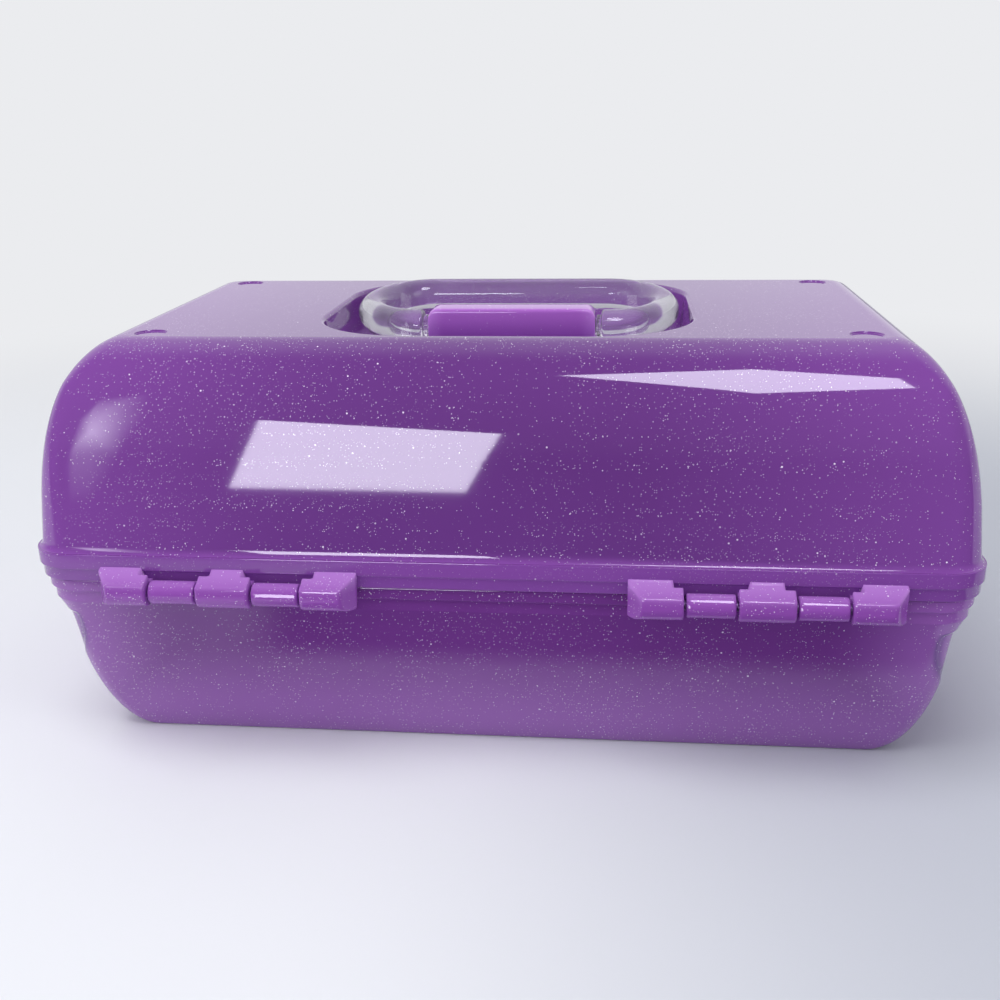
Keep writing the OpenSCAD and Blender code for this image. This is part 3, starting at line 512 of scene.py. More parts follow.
# %% [markdown]
# The flat top has four round dimples, one over each screw of the mirror's frame. A grid can't
# hold them, so the flat between the rounded edge, the pocket's lip and the dimples' rims is
# filled with triangles that use the points of those outlines, and the mesh stays closed.
# %% The lid with its dimples
DIMPLE_X, DIMPLE_Y, DIMPLE_POINTS = 125.7, 59.4, 44
DIMPLES = [(x, y) for x in (DIMPLE_X, -DIMPLE_X) for y in (DIMPLE_Y, -DIMPLE_Y)]
dimple_r, dimple_deep = np.array([[6.0, 0.0], [5.9, 0.02], [5.79, 0.09], [5.72, 0.2], [5.66, 0.38],
                                  [5.5, 0.52], [5.25, 0.59], [4.9, 0.6], [2.4, 0.6]]).T[..., None]
dimple_turn = turn_steps(0.0, 360.0, DIMPLE_POINTS, endpoint=False)
dimple_z = np.repeat(CASE_H - dimple_deep, DIMPLE_POINTS, axis=1)
dimple_grids = [np.stack([x + dimple_r * np.cos(dimple_turn), y + dimple_r * np.sin(dimple_turn), dimple_z],
                         axis=-1) for x, y in DIMPLES]


def flat_between(outer, loops):
    """Flat triangles inside the outer loop and outside the others. The triangulation fills the
    whole outline, and a triangle with all its corners on one inner loop lies in that loop."""
    every = [outer] + loops
    starts = np.cumsum([0] + [len(loop) for loop in every])
    owner = np.repeat(np.arange(len(every)), [len(loop) for loop in every])
    edges = [(int(start + i), int(start + (i + 1) % len(loop)))
             for start, loop in zip(starts, every) for i in range(len(loop))]
    corners = [Vector(point[:2]) for loop in every for point in loop]
    triangles, found = delaunay_2d_cdt(corners, edges, [], 0, 1e-4)[2:4]
    source = np.array([first[0] for first in found])
    faces = [source[list(face)] for face in triangles]
    return [face.tolist() for face in faces if owner[face[0]] == 0 or len(set(owner[face].tolist())) > 1]


def lid_surface(name, rim_rows, outside, inside, dimples):
    """The lid's closed surface: a shell whose faces between the rim and the pocket make way for
    the flat, which is filled round the dimples. The flat is shaded flat, or else its long
    triangles would bend the reflections."""
    columns, around = outside.shape[1], dimples[0].shape[1]
    size = dimples[0].shape[0] * around
    points = np.concatenate([grid.reshape(-1, 3) for grid in [outside, inside] + dimples])
    faces = shell_faces(outside, inside)
    del faces[(rim_rows - 1) * columns:rim_rows * columns]
    rim = np.arange((rim_rows - 1) * columns, rim_rows * columns)
    loops = [rim + columns]
    for low in (len(outside) + len(inside)) * columns + size * np.arange(len(dimples)):
        loops.append(low + np.arange(around))
        faces += grid_faces(len(dimples[0]), around, low)
        faces.append(list(range(low + size - around, low + size)))
    index = np.concatenate([rim] + loops)
    faces += [index[face].tolist() for face in flat_between(points[rim], [points[loop] for loop in loops])]
    piece = make_object(name, points, faces, *LID)
    for face in piece.data.polygons:
        face.use_smooth = not all(abs(points[i][2] - CASE_H) < 1e-4 for i in face.vertices)
    return piece


lid = lid_surface("lid_moulding", len(outer_band) + len(outer_heights), lid_grid, inner_grid, dimple_grids)
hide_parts("lid_shell")

# %% Bosses and ears inside the lid
FRAME_TOP, TRAY_HALF_L, PIN_BORE = 131.6, 146.0, 2.06
MIRROR_BOSS = dict(radius=4.6, length=18.6, bore=1.36, deep=8.0, fillet=2.0)
EAR_R, EAR_DEEP, EAR_GAP = 4.0, 7.0, 0.4
LID_EARS = [(41.4, 92.0, 15.8), (71.4, 81.0, 17.4)]
for number, (x, y) in enumerate(DIMPLES, 1):
    turned(f"lid_mirror_boss_{number}", boss_profile(**MIRROR_BOSS), (x, y, FRAME_TOP), "z", *LID)
for side, word in SIDES:
    for number, (y, z, length) in enumerate(LID_EARS, 1):
        ear = boss_profile(EAR_R, length, PIN_BORE, EAR_DEEP, side)
        turned(f"lid_ear_{word}_{number}", ear, (side * (TRAY_HALF_L + EAR_GAP), y, z), "x", *LID)

# %% [markdown]
# ## The base
# The base is the same kind of shell, hollow side up. Each end has a shallow scooped dish for
# the fingers, which hangs below the neck and reaches round both corners. The dish isn't a
# separate piece: the wall is pushed in where it lies.
# %% Sizes of the base and its rings
END_LEAN, SIDE_LEAN, FOOT_ROUND_H, FOOT_END_RUN, FOOT_SIDE_RUN = 0.07, 0.3, 40.0, 16.0, 4.0
BAND_H, BAND_IN, RIM_SET, NECK_H, NECK_RUN, PART_GAP = 4.4, 1.1, 2.1, 5.4, 2.2, 0.3
BASE_CORNER_SHARE, NECK_SOFT_H, NECK_PASSES = 0.3, 9.0, 24
STEP_IN = RIM_SET + BAND_IN
BASE_TOP = PART_H - PART_GAP
BAND_LOW = BASE_TOP - 2 * BAND_H
NECK_Z = BAND_LOW - NECK_H
NECK_IN = STEP_IN + NECK_RUN
base_cuts = dict(arc=26, along_x=12, along_y=90)


def base_rings(z, offset):
    """The base's outlines at the heights z, below its bands: a lean and a rounded foot."""
    foot = ease((FOOT_ROUND_H - z) / (FOOT_ROUND_H - offset))
    end = NECK_IN + END_LEAN * (NECK_Z - z) + FOOT_END_RUN * foot
    side = NECK_IN + SIDE_LEAN * (NECK_Z - z) + FOOT_SIDE_RUN * foot
    radius = np.maximum(LEAST_R, RIM_R - BASE_CORNER_SHARE * side) - offset
    return rounded_rings(HALF_L - end - offset, HALF_D - side - offset, radius, z, **base_cuts)


foot_share = np.sin(turn_steps(90.0, 0.0, 40))
wall_heights = np.concatenate([FOOT_ROUND_H - FOOT_ROUND_H * foot_share,
                               np.arange(FOOT_ROUND_H + 1.0, NECK_Z - NECK_SOFT_H, 1.0)])
inner_wall = np.concatenate([FOOT_ROUND_H - (FOOT_ROUND_H - WALL) * foot_share,
                             np.arange(FOOT_ROUND_H + 3.0, NECK_Z, 3.0)])
neck_share = np.linspace(0.0, 0.92, 11)
neck_path = pairs(NECK_IN - NECK_RUN * neck_share, NECK_Z + NECK_H * neck_share)
neck = np.concatenate([base_rings(np.arange(NECK_Z - NECK_SOFT_H, NECK_Z, 0.5), 0.0),
                       band_rings(neck_path, 0.0, BASE_CORNER_SHARE, **base_cuts)])
for _ in range(NECK_PASSES):
    neck[1:-1] = (neck[:-2] + 2.0 * neck[1:-1] + neck[2:]) / 4.0
base_band = soften([[STEP_IN + 0.1, BAND_LOW - 0.24], [STEP_IN, BAND_LOW],
                    [STEP_IN, BAND_LOW + BAND_H - 0.1], [RIM_SET, BAND_LOW + BAND_H + 0.1],
                    [RIM_SET, BASE_TOP], [RIM_SET + 1.0, BASE_TOP]], EDGE_R)[1:]
well_band = [[NECK_IN, NECK_Z], [STEP_IN, BAND_LOW], [STEP_IN, BASE_TOP - EDGE_R],
             [STEP_IN - EDGE_R, BASE_TOP]]
base_grid = np.concatenate([base_rings(wall_heights, 0.0), neck,
                            band_rings(base_band, 0.0, BASE_CORNER_SHARE, **base_cuts)])
well_grid = np.concatenate([base_rings(inner_wall, WALL),
                            band_rings(well_band, WALL, BASE_CORNER_SHARE, **base_cuts)])
print("rings of the base:", len(base_grid), "outside and", len(well_grid), "inside")

# %% The scooped dishes
DISH_HALF_W, DISH_HIGH, DISH_TOP, CORNER_R = 95.0, 44.0, 57.0, 12.5
DISH_EDGE, DISH_MIDDLE, DISH_RIM_W, DISH_TOP_SLOPE = 0.45, 2.75, 2.0, 1.5
SHADE_AT, SHADE_W, SHADE_MOST, SHADE_FROM_X = 2.0, 2.2, 0.85, 100.0
TINY = 0.01


def dish_place(along, z):
    """Where a point lies in the scoop, whose outline is the lower half of an ellipse below the
    neck: its share of the ellipse's reach, and its distance inside the outline."""
    below = np.maximum(DISH_TOP - z, TINY)
    out = np.maximum(np.hypot(along / DISH_HALF_W, below / DISH_HIGH), TINY)
    slope = np.hypot(along / DISH_HALF_W ** 2, below / DISH_HIGH ** 2) / out
    return out, (1.0 - out) / slope


def dish_depth(along, z):
    """The scoop's depth at a distance along the wall from the end's middle. It rises from the
    outline in an S-curve within two millimetres, and a little more towards the middle."""
    out, within = dish_place(along, z)
    inside = np.clip(np.minimum(within, DISH_TOP_SLOPE * (DISH_TOP - z)) / DISH_RIM_W, 0.0, 1.0)
    return inside ** 2 * (3.0 - 2.0 * inside) * (DISH_EDGE + DISH_MIDDLE * np.clip(1.0 - out ** 2, 0.0, 1.0))


def along_wall(y, outward):
    """Distance along the wall from the end's middle. Round a corner, where the wall's outward
    direction turns, it grows by the arc less its sine."""
    turn = np.arctan2(np.abs(outward[..., 1]), np.abs(outward[..., 0]))
    return np.abs(y) + CORNER_R * (turn - np.sin(turn))


def press_dishes(grid):
    """Pushes the wall in by the scoop's depth, against its outward direction, which is square
    to the ring."""
    tangent = np.roll(grid, -1, axis=1) - np.roll(grid, 1, axis=1)
    outward = np.stack([tangent[..., 1], -tangent[..., 0], np.zeros(grid.shape[:2])], axis=-1)
    outward /= np.linalg.norm(outward, axis=-1, keepdims=True)
    return grid - outward * dish_depth(along_wall(grid[..., 1], outward), grid[..., 2])[..., None]


def point_values(piece, kind):
    """The places or the outward directions of a piece's points, as rows of three."""
    values = np.zeros(len(piece.data.vertices) * 3)
    piece.data.vertices.foreach_get(kind, values)
    return values.reshape(-1, 3)


def shade_dish_rims(piece):
    """Writes rim_shade on the piece's points: a painted shade in a bell curve just inside each scoop's
    outline.
    """
    x, y, z = (point_values(piece, "co") / MM).T
    within = dish_place(along_wall(y, point_values(piece, "normal")), z)[1]
    shade = SHADE_MOST * np.exp(-((within - SHADE_AT) / SHADE_W) ** 2)
    shade = shade * (np.abs(x) > SHADE_FROM_X) * (z < DISH_TOP)
    piece.data.attributes.new("rim_shade", "FLOAT", "POINT").data.foreach_set("value", shade)


def trim_to_end_wall(grid):
    """Stops points in the middle of the base's end wall, dish included."""
    y, z = grid[..., 1], grid[..., 2]
    wall_x = HALF_L - NECK_IN - END_LEAN * (NECK_Z - z) - WALL / 2 - dish_depth(np.abs(y), z)
    trimmed = grid.copy()
    trimmed[..., 0] = np.clip(grid[..., 0], -wall_x, wall_x)
    return trimmed


outside, inside = press_dishes(base_grid)[::-1], press_dishes(well_grid)
base_points = np.concatenate([outside.reshape(-1, 3), inside.reshape(-1, 3)])
base = make_object("base_moulding", base_points, shell_faces(outside, inside), *BASE)
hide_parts("base_tub")
shade_dish_rims(base)

# %% [markdown]
# ## Hinge tabs and barrels
# Three tabs of the lid and two barrels of the base share each steel pin. All of them are one
# outline pushed along the hinge. A tab's outer end is cut on a slant and its neck has a square
# notch: both are done by limiting the outline's points, ring by ring, so that a tab is still
# one grid.
# %% Prisms along X
def prism(name, outline, ends, body, material, slot, edge=0.3, limit=None):
    """Pushes a closed outline of Y and Z along X. The first and last rings are drawn in
    towards the outline's middle by the edge's width, which rounds the rims."""
    outline = np.asarray(outline, float)
    start, end = ends
    inner_x = np.arange(start + 1.0, end - 0.9, 0.8)
    x = np.unique(np.concatenate([[start, start + edge, end - edge, end], inner_x]))
    middle = outline.mean(axis=0)
    reach = np.linalg.norm(outline - middle, axis=1, keepdims=True)
    drawn = middle + (outline - middle) * (1 - edge / np.maximum(reach, edge))
    at_rim = (np.minimum(x - start, end - x) < edge / 2)[:, None, None]
    rings = np.where(at_rim, drawn[None], outline[None])
    grid = np.concatenate([np.broadcast_to(x[:, None, None], rings.shape[:2] + (1,)), rings], axis=-1)
    return skin(name, limit(grid) if limit else grid, body, material, slot)


def arc_points(radius, start, end, count, centre=(0.0, 0.0)):
    """Points of an arc, anticlockwise from start to end."""
    angle = turn_steps(start, end, count)
    return pairs(centre[0] + radius * np.cos(angle), centre[1] + radius * np.sin(angle))


# %% The tabs
HINGE_OUT, HINGE_DROP, TAB_R, TAB_W, BARREL_W, KNUCKLE_GAP = 3.6, 1.4, 5.0, 18.4, 16.2, 1.0
HINGE_END, TAB_SLANT, NOTCH_W, NOTCH_DEEP, NOTCH_FLOOR = 28.0, 4.6, 3.3, 3.0, 3.2
ROOF_H, TAB_ROOT, BARREL_R, BARREL_ROOT = 6.1, 1.6, 4.1, -6.0
hinge_at = np.array([HALF_D + HINGE_OUT, PART_H - HINGE_DROP])
hinge_outer = HALF_L - HINGE_END
step_along = TAB_W + BARREL_W + 2 * KNUCKLE_GAP
tab_starts = [hinge_outer - TAB_W - index * step_along for index in range(3)]
barrel_starts = [tab_starts[index] - KNUCKLE_GAP - BARREL_W for index in range(2)]
brow = soften([[TAB_R, 0.0], [TAB_R - 0.4, TAB_R - 1.3], [-HINGE_OUT, HINGE_DROP + ROOF_H],
               [-HINGE_OUT - TAB_ROOT, HINGE_DROP + ROOF_H]], 0.7)
tab_outline = np.concatenate([arc_points(TAB_R, 165.0, 360.0, 36), refine(brow[1:], 0.4),
                              [[-HINGE_OUT - HEM_IN - TAB_ROOT, HINGE_DROP + 1.0]]])


def shape_tab(start, end, notched_in, notched_out):
    """Limits a tab's points: a slanted line cuts a free end, and a notch lowers the roof's
    root to the eye beside a barrel."""
    def limit(grid):
        x, y, z = grid[..., 0], grid[..., 1], grid[..., 2]
        for distance, notched in ((x - start, notched_in), (end - x, notched_out)):
            if notched:
                low = (distance < NOTCH_W) & (y < hinge_at[0] - HINGE_OUT + NOTCH_DEEP)
                z = np.where(low, np.minimum(z, hinge_at[1] + NOTCH_FLOOR), z)
            else:
                line = hinge_at[0] - HINGE_OUT / 2 + distance * (HINGE_OUT / 2 + TAB_R) / TAB_SLANT
                y = np.minimum(y, line)
        return np.stack([x, y, z], axis=-1)
    return limit


for side, word in SIDES:
    for index, start in enumerate(tab_starts):
        ends = sorted((side * start, side * (start + TAB_W)))
        notched = (index != 2, index != 0)[::side]
        prism(f"lid_tab_{word}_{index + 1}", tab_outline + hinge_at, ends, *LIT_THIN_LID,
              limit=shape_tab(*ends, *notched))

# %% The barrels
web_in = HINGE_OUT + STEP_IN + WALL / 2
web_top = HINGE_DROP - PART_GAP - 0.3
barrel_outline = np.concatenate([arc_points(BARREL_R, -125.0, 169.0, 40),
                                 [[-web_in, web_top], [-web_in, BARREL_ROOT]]])
for side, word in SIDES:
    for index, start in enumerate(barrel_starts):
        ends = sorted((side * start, side * (start + BARREL_W)))
        prism(f"base_barrel_{word}_{index + 1}", barrel_outline + hinge_at, ends, *LIT_THIN_BASE)

# %% The latch's lugs and the arms' bosses
LATCH_AT, EYE_R, LUG_X, LUG_T, LUG_EDGE = np.array([-102.6, 86.0]), 3.9, 23.4, 3.6, 0.35
ARM_BOSS = dict(radius=4.6, length=10.4, bore=PIN_BORE, deep=5.0)
ARM_X, ARM_Y, ARM_Z = 149.3, 21.0, 53.4


def lug_root(rise):
    """A point in the lid's front wall, at a height over the latch's pivot and seen from it."""
    wall_y = -(HALF_D - lid_insets(LATCH_AT[1] + rise, WALL / 2)[1])
    return [wall_y - LATCH_AT[0], rise + np.sign(rise)]


lug_outline = np.concatenate([arc_points(EYE_R, 80.0, 280.0, 30), [lug_root(-EYE_R), lug_root(EYE_R)]])
for side, word in SIDES:
    prism(f"lid_latch_lug_{word}", lug_outline + LATCH_AT, sorted((side * LUG_X, side * (LUG_X + LUG_T))),
          *LIT_THIN_LID, edge=LUG_EDGE)
    turned(f"base_arm_boss_{word}", boss_profile(**ARM_BOSS, direction=side), (side * ARM_X, ARM_Y, ARM_Z),
           "x", *BASE, limit=trim_to_end_wall)

# %% The catch and the locating lips
CATCH_Y, CATCH_LOW, CATCH_HIGH, CATCH_R, CATCH_ROOT_Y, CATCH_HALF_L = -98.5, 66.5, 66.9, 0.7, -95.0, 15.0
LIP_Y, LIP_Z, LIP_R, LIP_LOW, LIP_HALF_W, LIP_HALF_L = 93.3, 72.75, 0.75, 70.1, 0.8, 151.0
catch_outline = np.concatenate([arc_points(CATCH_R, 90.0, 180.0, 9, (CATCH_Y, CATCH_HIGH)),
                                arc_points(CATCH_R, 180.0, 270.0, 9, (CATCH_Y, CATCH_LOW)),
                                [[CATCH_ROOT_Y, CATCH_LOW - CATCH_R], [CATCH_ROOT_Y, CATCH_HIGH + CATCH_R]]])
prism("base_catch", catch_outline, (-CATCH_HALF_L, CATCH_HALF_L), *LIT_THIN_BASE)
for lip_y, word in ((LIP_Y, "rear"), (-LIP_Y, "front")):
    lip_outline = np.concatenate([arc_points(LIP_R, 0.0, 180.0, 13, (lip_y, LIP_Z)),
                                  [[lip_y - LIP_HALF_W, LIP_LOW], [lip_y + LIP_HALF_W, LIP_LOW]]])
    prism(f"base_lip_{word}", lip_outline, (-LIP_HALF_L, LIP_HALF_L), *BASE)

# %% [markdown]
# ## The handle
# The handle is one clear tube bent to a long ring with a gap. Its ends carry ribbed collars
# and thin pins that turn in the saddle. It is swept: a circle is carried along the ring, and
# its radius depends on where it is along the path and, at the collars, on the angle.
# %% The handle's tube
TUBE_R, BEND_R, ARM_END, PIVOT = 6.4, 24.6, 35.2, np.array([3.3, 145.4])
STUB_R, STUB_L, SADDLE_L, SLIDE_GAP, TILT, RIBS = 3.2, 5.2, 32.8, 0.4, np.radians(5.8), 16
COLLAR_R, ARM_ROUND, BEND_START = STUB_R + 1.1, 1.4, 1.0
bend_x = ARM_END + SLIDE_GAP


def handle_path():
    """The right half of the tube's path: rows of X and Y before the tilt, the radius and the
    depth of the ribs. It runs from the pin over the ribbed collar, the arm's rounded end and a
    half circle to the middle of the bar. The left half mirrors it."""
    stub, neck = SADDLE_L - STUB_L, SADDLE_L + SLIDE_GAP
    collar = [[stub, 0, STUB_R - 0.4, 0], [stub + 0.4, 0, STUB_R, 0], [neck, 0, STUB_R, 0],
              [neck + 0.05, 0, STUB_R + 0.7, 0.4], [neck + 0.25, 0, COLLAR_R, 0.5],
              [ARM_END - 0.2, 0, COLLAR_R, 0.5], [ARM_END, 0, COLLAR_R + 0.2, 0.3]]
    shoulder = [[ARM_END + ARM_ROUND * (1 - np.cos(turn)), 0, TUBE_R - ARM_ROUND * (1 - np.sin(turn)), 0]
                for turn in turn_steps(15.0, 90.0, 6)]
    bend = [[bend_x + BEND_START + (BEND_R - BEND_START) * np.sin(turn), BEND_R * (np.cos(turn) - 1),
             TUBE_R, 0] for turn in turn_steps(0.0, 180.0, 73)[1:]]
    bar = [[x, -2 * BEND_R, TUBE_R, 0] for x in np.linspace(bend_x, 0.0, 12)[1:]]
    return np.array(collar + shoulder + bend + bar)


half = handle_path()
path = np.concatenate([half, (half * [-1, 1, 1, 1])[:-1][::-1]])
forward = np.gradient(path[:, :2], axis=0)
forward /= np.linalg.norm(forward, axis=1, keepdims=True)
across = np.stack([forward[:, 1], -forward[:, 0]], axis=1)
around = turn_steps(0.0, 360.0, 96, endpoint=False)
swell = path[:, 2:3] - path[:, 3:4] * 0.5 * (1 - np.cos(RIBS * around))[None]
flat = path[:, None, :2] + across[:, None] * (swell * np.cos(around))[..., None]
height = swell * np.sin(around)
tube = np.stack([flat[..., 0], PIVOT[0] + flat[..., 1] * np.cos(TILT) + height * np.sin(TILT),
                 PIVOT[1] - flat[..., 1] * np.sin(TILT) + height * np.cos(TILT)], axis=-1)
handle = skin("handle_tube", tube, "handle", handle_plastic, "clear_plastic")
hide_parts("handle_grip")

# %% [markdown]
# ## The saddle
# The block between the handle's ends holds its pins. It is a bar with rounded long edges, and
# its top falls away in a quarter round at both ends.
# %% The saddle
SADDLE_D, SADDLE_EDGE, SADDLE_CORNER = 6.6, 1.4, 3.6
end_turn = turn_steps(0.0, 90.0, 9)
fall = pairs(SADDLE_L - SADDLE_CORNER * (1 - np.sin(end_turn)), SADDLE_CORNER * (1 - np.cos(end_turn)))
saddle_half = np.concatenate([[[0.0, 0.0], [12.0, 0.0], [24.0, 0.0]], fall,
                              [[SADDLE_L, SADDLE_CORNER + 1.0]]])
stations = np.concatenate([(saddle_half * [-1, 1])[::-1], saddle_half[1:]])


def saddle_ring(x, drop):
    """The saddle's section at x: square below, rounded above, its top lowered by drop."""
    low, high = pocket_floor_z - 0.1, CASE_H - drop
    edge_y, edge_z = SADDLE_D - SADDLE_EDGE, high - SADDLE_EDGE
    section = np.concatenate([[[SADDLE_D, low]], arc_points(SADDLE_EDGE, 0.0, 90.0, 8, (edge_y, edge_z)),
                              [[0.0, high]], arc_points(SADDLE_EDGE, 90.0, 180.0, 8, (-edge_y, edge_z)),
                              [[-SADDLE_D, low]]])
    return np.insert(section + [PIVOT[0], 0.0], 0, x, axis=1)


saddle_rings = np.stack([saddle_ring(x, drop) for x, drop in stations])
saddle = skin("handle_saddle_block", saddle_rings, "lid", lit_saddle_plastic, "lid_purple")
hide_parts("handle_saddle")

# %% [markdown]
# ## Finishes of the CAD nodes
# The other nodes have the right shape already, so each only gets its finish.
# %% Dress the CAD nodes
node_finish = [
    (hidden_steel, ["hinge_pins"]),
    (pin_steel, ["arm_pivot_pins", "saddle_screws", "mirror_screws", "latch_pin", "lid_tray_pins",
                 "tray_upper_pins", "tray_lower_pins"]),
    (tray_plastic, ["mirror_frame", "tray_upper", "tray_lower", "tray_arm_left", "tray_arm_right"]),
    (mirror_silver, ["mirror_glass"]),
    (handle_plastic, ["latch", "upper_dividers", "lower_dividers"]),
]
for finish, names in node_finish:
    for name in names:
        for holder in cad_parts[name].material_slots:
            holder.material = finish
    print(finish.name, "on", ", ".join(names))

# %% [markdown]
# ## Floor and light
# A pale floor, a white surround that only the camera and mirror-like rays see, and soft lamps.
# The floor has a painted shadow behind the case on one side, and where the gloss shows the room's floor it
# has a dark patch, a painted reflection.
# %% Floor and surround
FLOOR_R = 6.0


def stage_floor():
    """A large pale floor that turns white where the camera looks at it far from the case. It has a
    painted shadow on one side and a dark patch that only the gloss sees, a painted reflection. Each
    step of its tint is an S-curve between two distances in metres."""
    material, tree, position = new_material("floor_matt_paint")
    spot = node(tree, "ShaderNodeSeparateXYZ", Vector=position)
    x, y = spot.outputs["X"], spot.outputs["Y"]
    away = node(tree, "ShaderNodeVectorMath", {"operation": "LENGTH"}, i0=position).outputs["Value"]
    steps = {"shade_side": (x, 0.06, -0.18), "shade_near": (away, 0.8, 0.3), "far": (away, 0.36, 0.95),
             "gap_near": (y, 0.104, 0.118), "gap_side": (x, 0.115, 0.085), "room": (y, 0.22, 0.4)}
    fade = {name: node(tree, *S_CURVE, Value=value, From_Min=start, From_Max=end)
            for name, (value, start, end) in steps.items()}
    patch = node(tree, "ShaderNodeTexNoise", Vector=position, Scale=3.0, Detail=3.0)
    tint = node(tree, *BLEND, Factor=patch, i6=colour("#dde0e4"), i7=colour("#e7e9ed"))
    # A painted shadow: the floor darkens on one side near the case.
    fallen = node(tree, *TIMES, i0=fade["shade_side"], i1=fade["shade_near"])
    shade = node(tree, *BLEND, Factor=fallen, i6=tint, i7=colour("#bcc0c9"))
    paint = node(tree, "ShaderNodeBsdfPrincipled", Base_Color=shade, Roughness=0.8)
    ray = node(tree, "ShaderNodeLightPath")
    white = node(tree, "ShaderNodeEmission", Color=colour("#ebecef"), Strength=1.0)
    seen_far = node(tree, *TIMES, i0=fade["far"], i1=ray.outputs["Is Camera Ray"])
    pale = node(tree, "ShaderNodeMixShader", i0=seen_far, i1=paint, i2=white)
    # A painted reflection: mirror-like rays see a dark patch on the camera's side of the case.
    gap = node(tree, *TIMES, i0=fade["gap_near"], i1=fade["gap_side"])
    dim = node(tree, *LARGER, i0=gap, i1=fade["room"])
    dim_gloss = node(tree, *TIMES, i0=dim, i1=ray.outputs["Is Glossy Ray"])
    dark = node(tree, "ShaderNodeEmission", Color=colour("#3c3a44"), Strength=1.0)
    both = node(tree, "ShaderNodeMixShader", i0=dim_gloss, i1=pale, i2=dark)
    node(tree, "ShaderNodeOutputMaterial", Surface=both)
    corners = [(-FLOOR_R, -FLOOR_R, 0), (FLOOR_R, -FLOOR_R, 0), (FLOOR_R, FLOOR_R, 0), (-FLOOR_R, FLOOR_R, 0)]
    floor = add_mesh("floor", corners, [(0, 1, 2, 3)], material)
    print("floor of", 2 * FLOOR_R, "m")


def studio_surround():
    """A white room for the camera and for what shines through, a dimmer one for the light on
    matt surfaces, and for the gloss one that is bright only on the case's far side."""
    world = bpy.data.worlds.new("studio")
    bpy.context.scene.world = world
    world.use_nodes = True
    tree = world.node_tree
    tree.nodes.clear()
    ray = node(tree, "ShaderNodeLightPath")
    camera_ray = ray.outputs["Is Camera Ray"]
    seen = node(tree, *LARGER, i0=camera_ray, i1=ray.outputs["Is Transmission Ray"])
    level = node(tree, "ShaderNodeMapRange", Value=camera_ray, To_Min=0.66, To_Max=1.0)
    fill = node(tree, "ShaderNodeBackground", Color=colour("#f0f0f4"), Strength=0.6)
    surround = node(tree, "ShaderNodeBackground", Color=colour("#ebecef"), Strength=level)
    generated = node(tree, "ShaderNodeTexCoord").outputs["Generated"]
    direction = node(tree, "ShaderNodeSeparateXYZ", Vector=generated)
    behind = node(tree, *S_CURVE, Value=direction.outputs["Y"], From_Min=0.15, From_Max=-0.45)
    glow = node(tree, "ShaderNodeMapRange", Value=behind, To_Min=0.13, To_Max=1.0)
    mirrored = node(tree, "ShaderNodeBackground", Color=colour("#f2f0fa"), Strength=glow)
    by_gloss = node(tree, "ShaderNodeMixShader", i0=ray.outputs["Is Glossy Ray"], i1=fill, i2=mirrored)
    either = node(tree, "ShaderNodeMixShader", i0=seen, i1=by_gloss, i2=surround)
    node(tree, "ShaderNodeOutputWorld", Surface=either)


stage_floor()
studio_surround()


# %% Lamps
def area_lamp(name, place, target, size, power):
    """A soft lamp at a place in metres, turned towards a target. The gloss doesn't show it."""
    data = bpy.data.lights.new(name, "AREA")
    data.shape = "RECTANGLE"
    data.size, data.size_y = size
    data.energy = power
    lamp = bpy.data.objects.new(name, data)
    lamp.location = place
    lamp.rotation_euler = (Vector(target) - Vector(place)).to_track_quat("-Z", "Y").to_euler()
    lamp.visible_glossy = False
    bpy.context.scene.collection.objects.link(lamp)
    print(name, power, "W")


area_lamp("lamp_over", (0.3, 0.5, 1.6), (0.0, 0.0, 0.05), (1.2, 0.8), 16.0)
area_lamp("lamp_left", (1.4, 0.9, 0.9), (0.0, 0.0, 0.08), (0.8, 0.8), 7.0)
area_lamp("lamp_right", (-1.5, 0.7, 0.8), (0.0, 0.0, 0.08), (0.8, 0.8), 5.0)

# %% [markdown]
# ## Cards for the gloss
# A studio lays bright cards where a glossy surface should show them. Each card is given by the
# outline that its reflection has in the picture. The camera's line of sight through each point
# of the outline is mirrored about the lid's surface and followed to the card's plane. The
# camera itself doesn't see the cards.
# %% Cards
PICTURE_W, CARD_REACH, OUTLINE_STEP, CARD_TINT = 1000.0, 0.65, 10.0, "#f4f2ff"
WINDOW_PX = [(258.8, 420.0), (501.0, 433.8), (465.5, 492.5), (228.8, 487.5)]
STRIP_PX = [(558.8, 375.5), (712.5, 388.8), (755.0, 393.5), (915.0, 388.0), (898.8, 378.3),
            (752.5, 369.3), (625.0, 373.5)]
GLOW_PX = [(81, 417), (104, 397), (151, 394), (146, 417), (122, 451), (107, 482), (89, 507),
           (70, 507), (67, 473), (72, 440)]
lid_tree = BVHTree.FromPolygons([point.co for point in lid.data.vertices],
                                [face.vertices[:] for face in lid.data.polygons])


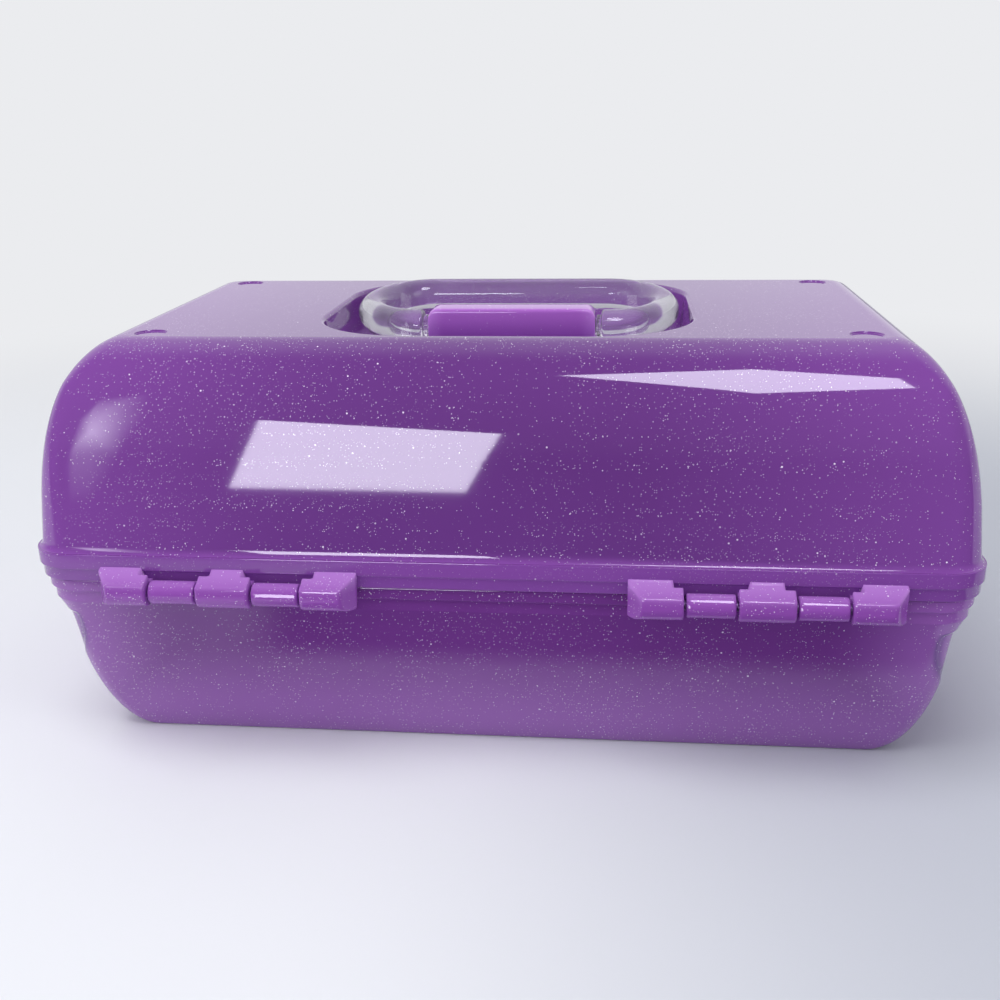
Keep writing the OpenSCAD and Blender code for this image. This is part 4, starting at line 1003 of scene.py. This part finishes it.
def mirrored_sight(x, y):
    """The line of sight through a picture point after the lid's surface has mirrored it: where
    it starts and which way it goes. The surface's direction is blended from the face's corners."""
    scale = camera_data.sensor_width / camera_data.lens / PICTURE_W
    from_lens = Vector(((x - PICTURE_W / 2) * scale, (PICTURE_W / 2 - y) * scale, -1.0))
    sight = camera.matrix_world.to_3x3() @ from_lens
    place, _, face, _ = lid_tree.ray_cast(camera.matrix_world.translation, sight)
    corners = [lid.data.vertices[i] for i in lid.data.polygons[face].vertices]
    weights = poly_3d_calc([corner.co for corner in corners], place)
    outward = sum((corner.normal * weight for corner, weight in zip(corners, weights)), Vector())
    return np.array(place), np.array(sight.reflect(outward).normalized())


def card_corners(outline):
    """A card's corners: the mirrored lines of sight, cut by the plane that stands square to
    their mean direction at the card's reach."""
    rays = [mirrored_sight(x, y) for x, y in refine(outline + outline[:1], OUTLINE_STEP)[:-1]]
    square = unit(np.mean([way for _, way in rays], axis=0))
    centre = np.mean([place for place, _ in rays], axis=0) + square * CARD_REACH
    return [tuple(place + way * ((centre - place) @ square) / (way @ square)) for place, way in rays]


def gloss_card(name, outline, strength, soft=False):
    """A flat glowing polygon that only mirror-like rays see. A soft card is cut into triangles
    about its middle, and its glow falls from one in the middle to nothing at the rim."""
    material, tree, _ = new_material(name + "_glow")
    level = node(tree, "ShaderNodeAttribute", {"attribute_name": "level"}).outputs["Fac"]
    power = node(tree, *TIMES, i0=level, i1=strength)
    glow = node(tree, "ShaderNodeEmission", Color=colour(CARD_TINT), Strength=power)
    node(tree, "ShaderNodeOutputMaterial", Surface=glow)
    corners = card_corners(outline)
    count = len(corners)
    faces, values = [tuple(range(count))], [1.0] * count
    if soft:
        corners.append(tuple(np.mean(corners, axis=0)))
        faces = [(i, (i + 1) % count, count) for i in range(count)]
        values = [0.0] * count + [1.0]
    card = add_mesh(name, corners, faces, material)
    card.data.attributes.new("level", "FLOAT", "POINT").data.foreach_set("value", values)
    card.visible_camera = card.visible_diffuse = card.visible_shadow = card.visible_transmission = False
    print(name, count, "corners")


gloss_card("window_card", WINDOW_PX, 12.5)
gloss_card("strip_card", STRIP_PX, 11.5)
gloss_card("left_card", GLOW_PX, 8.0, soft=True)

# %% Finish with the standard view transform
bpy.context.scene.view_settings.view_transform = "Standard"
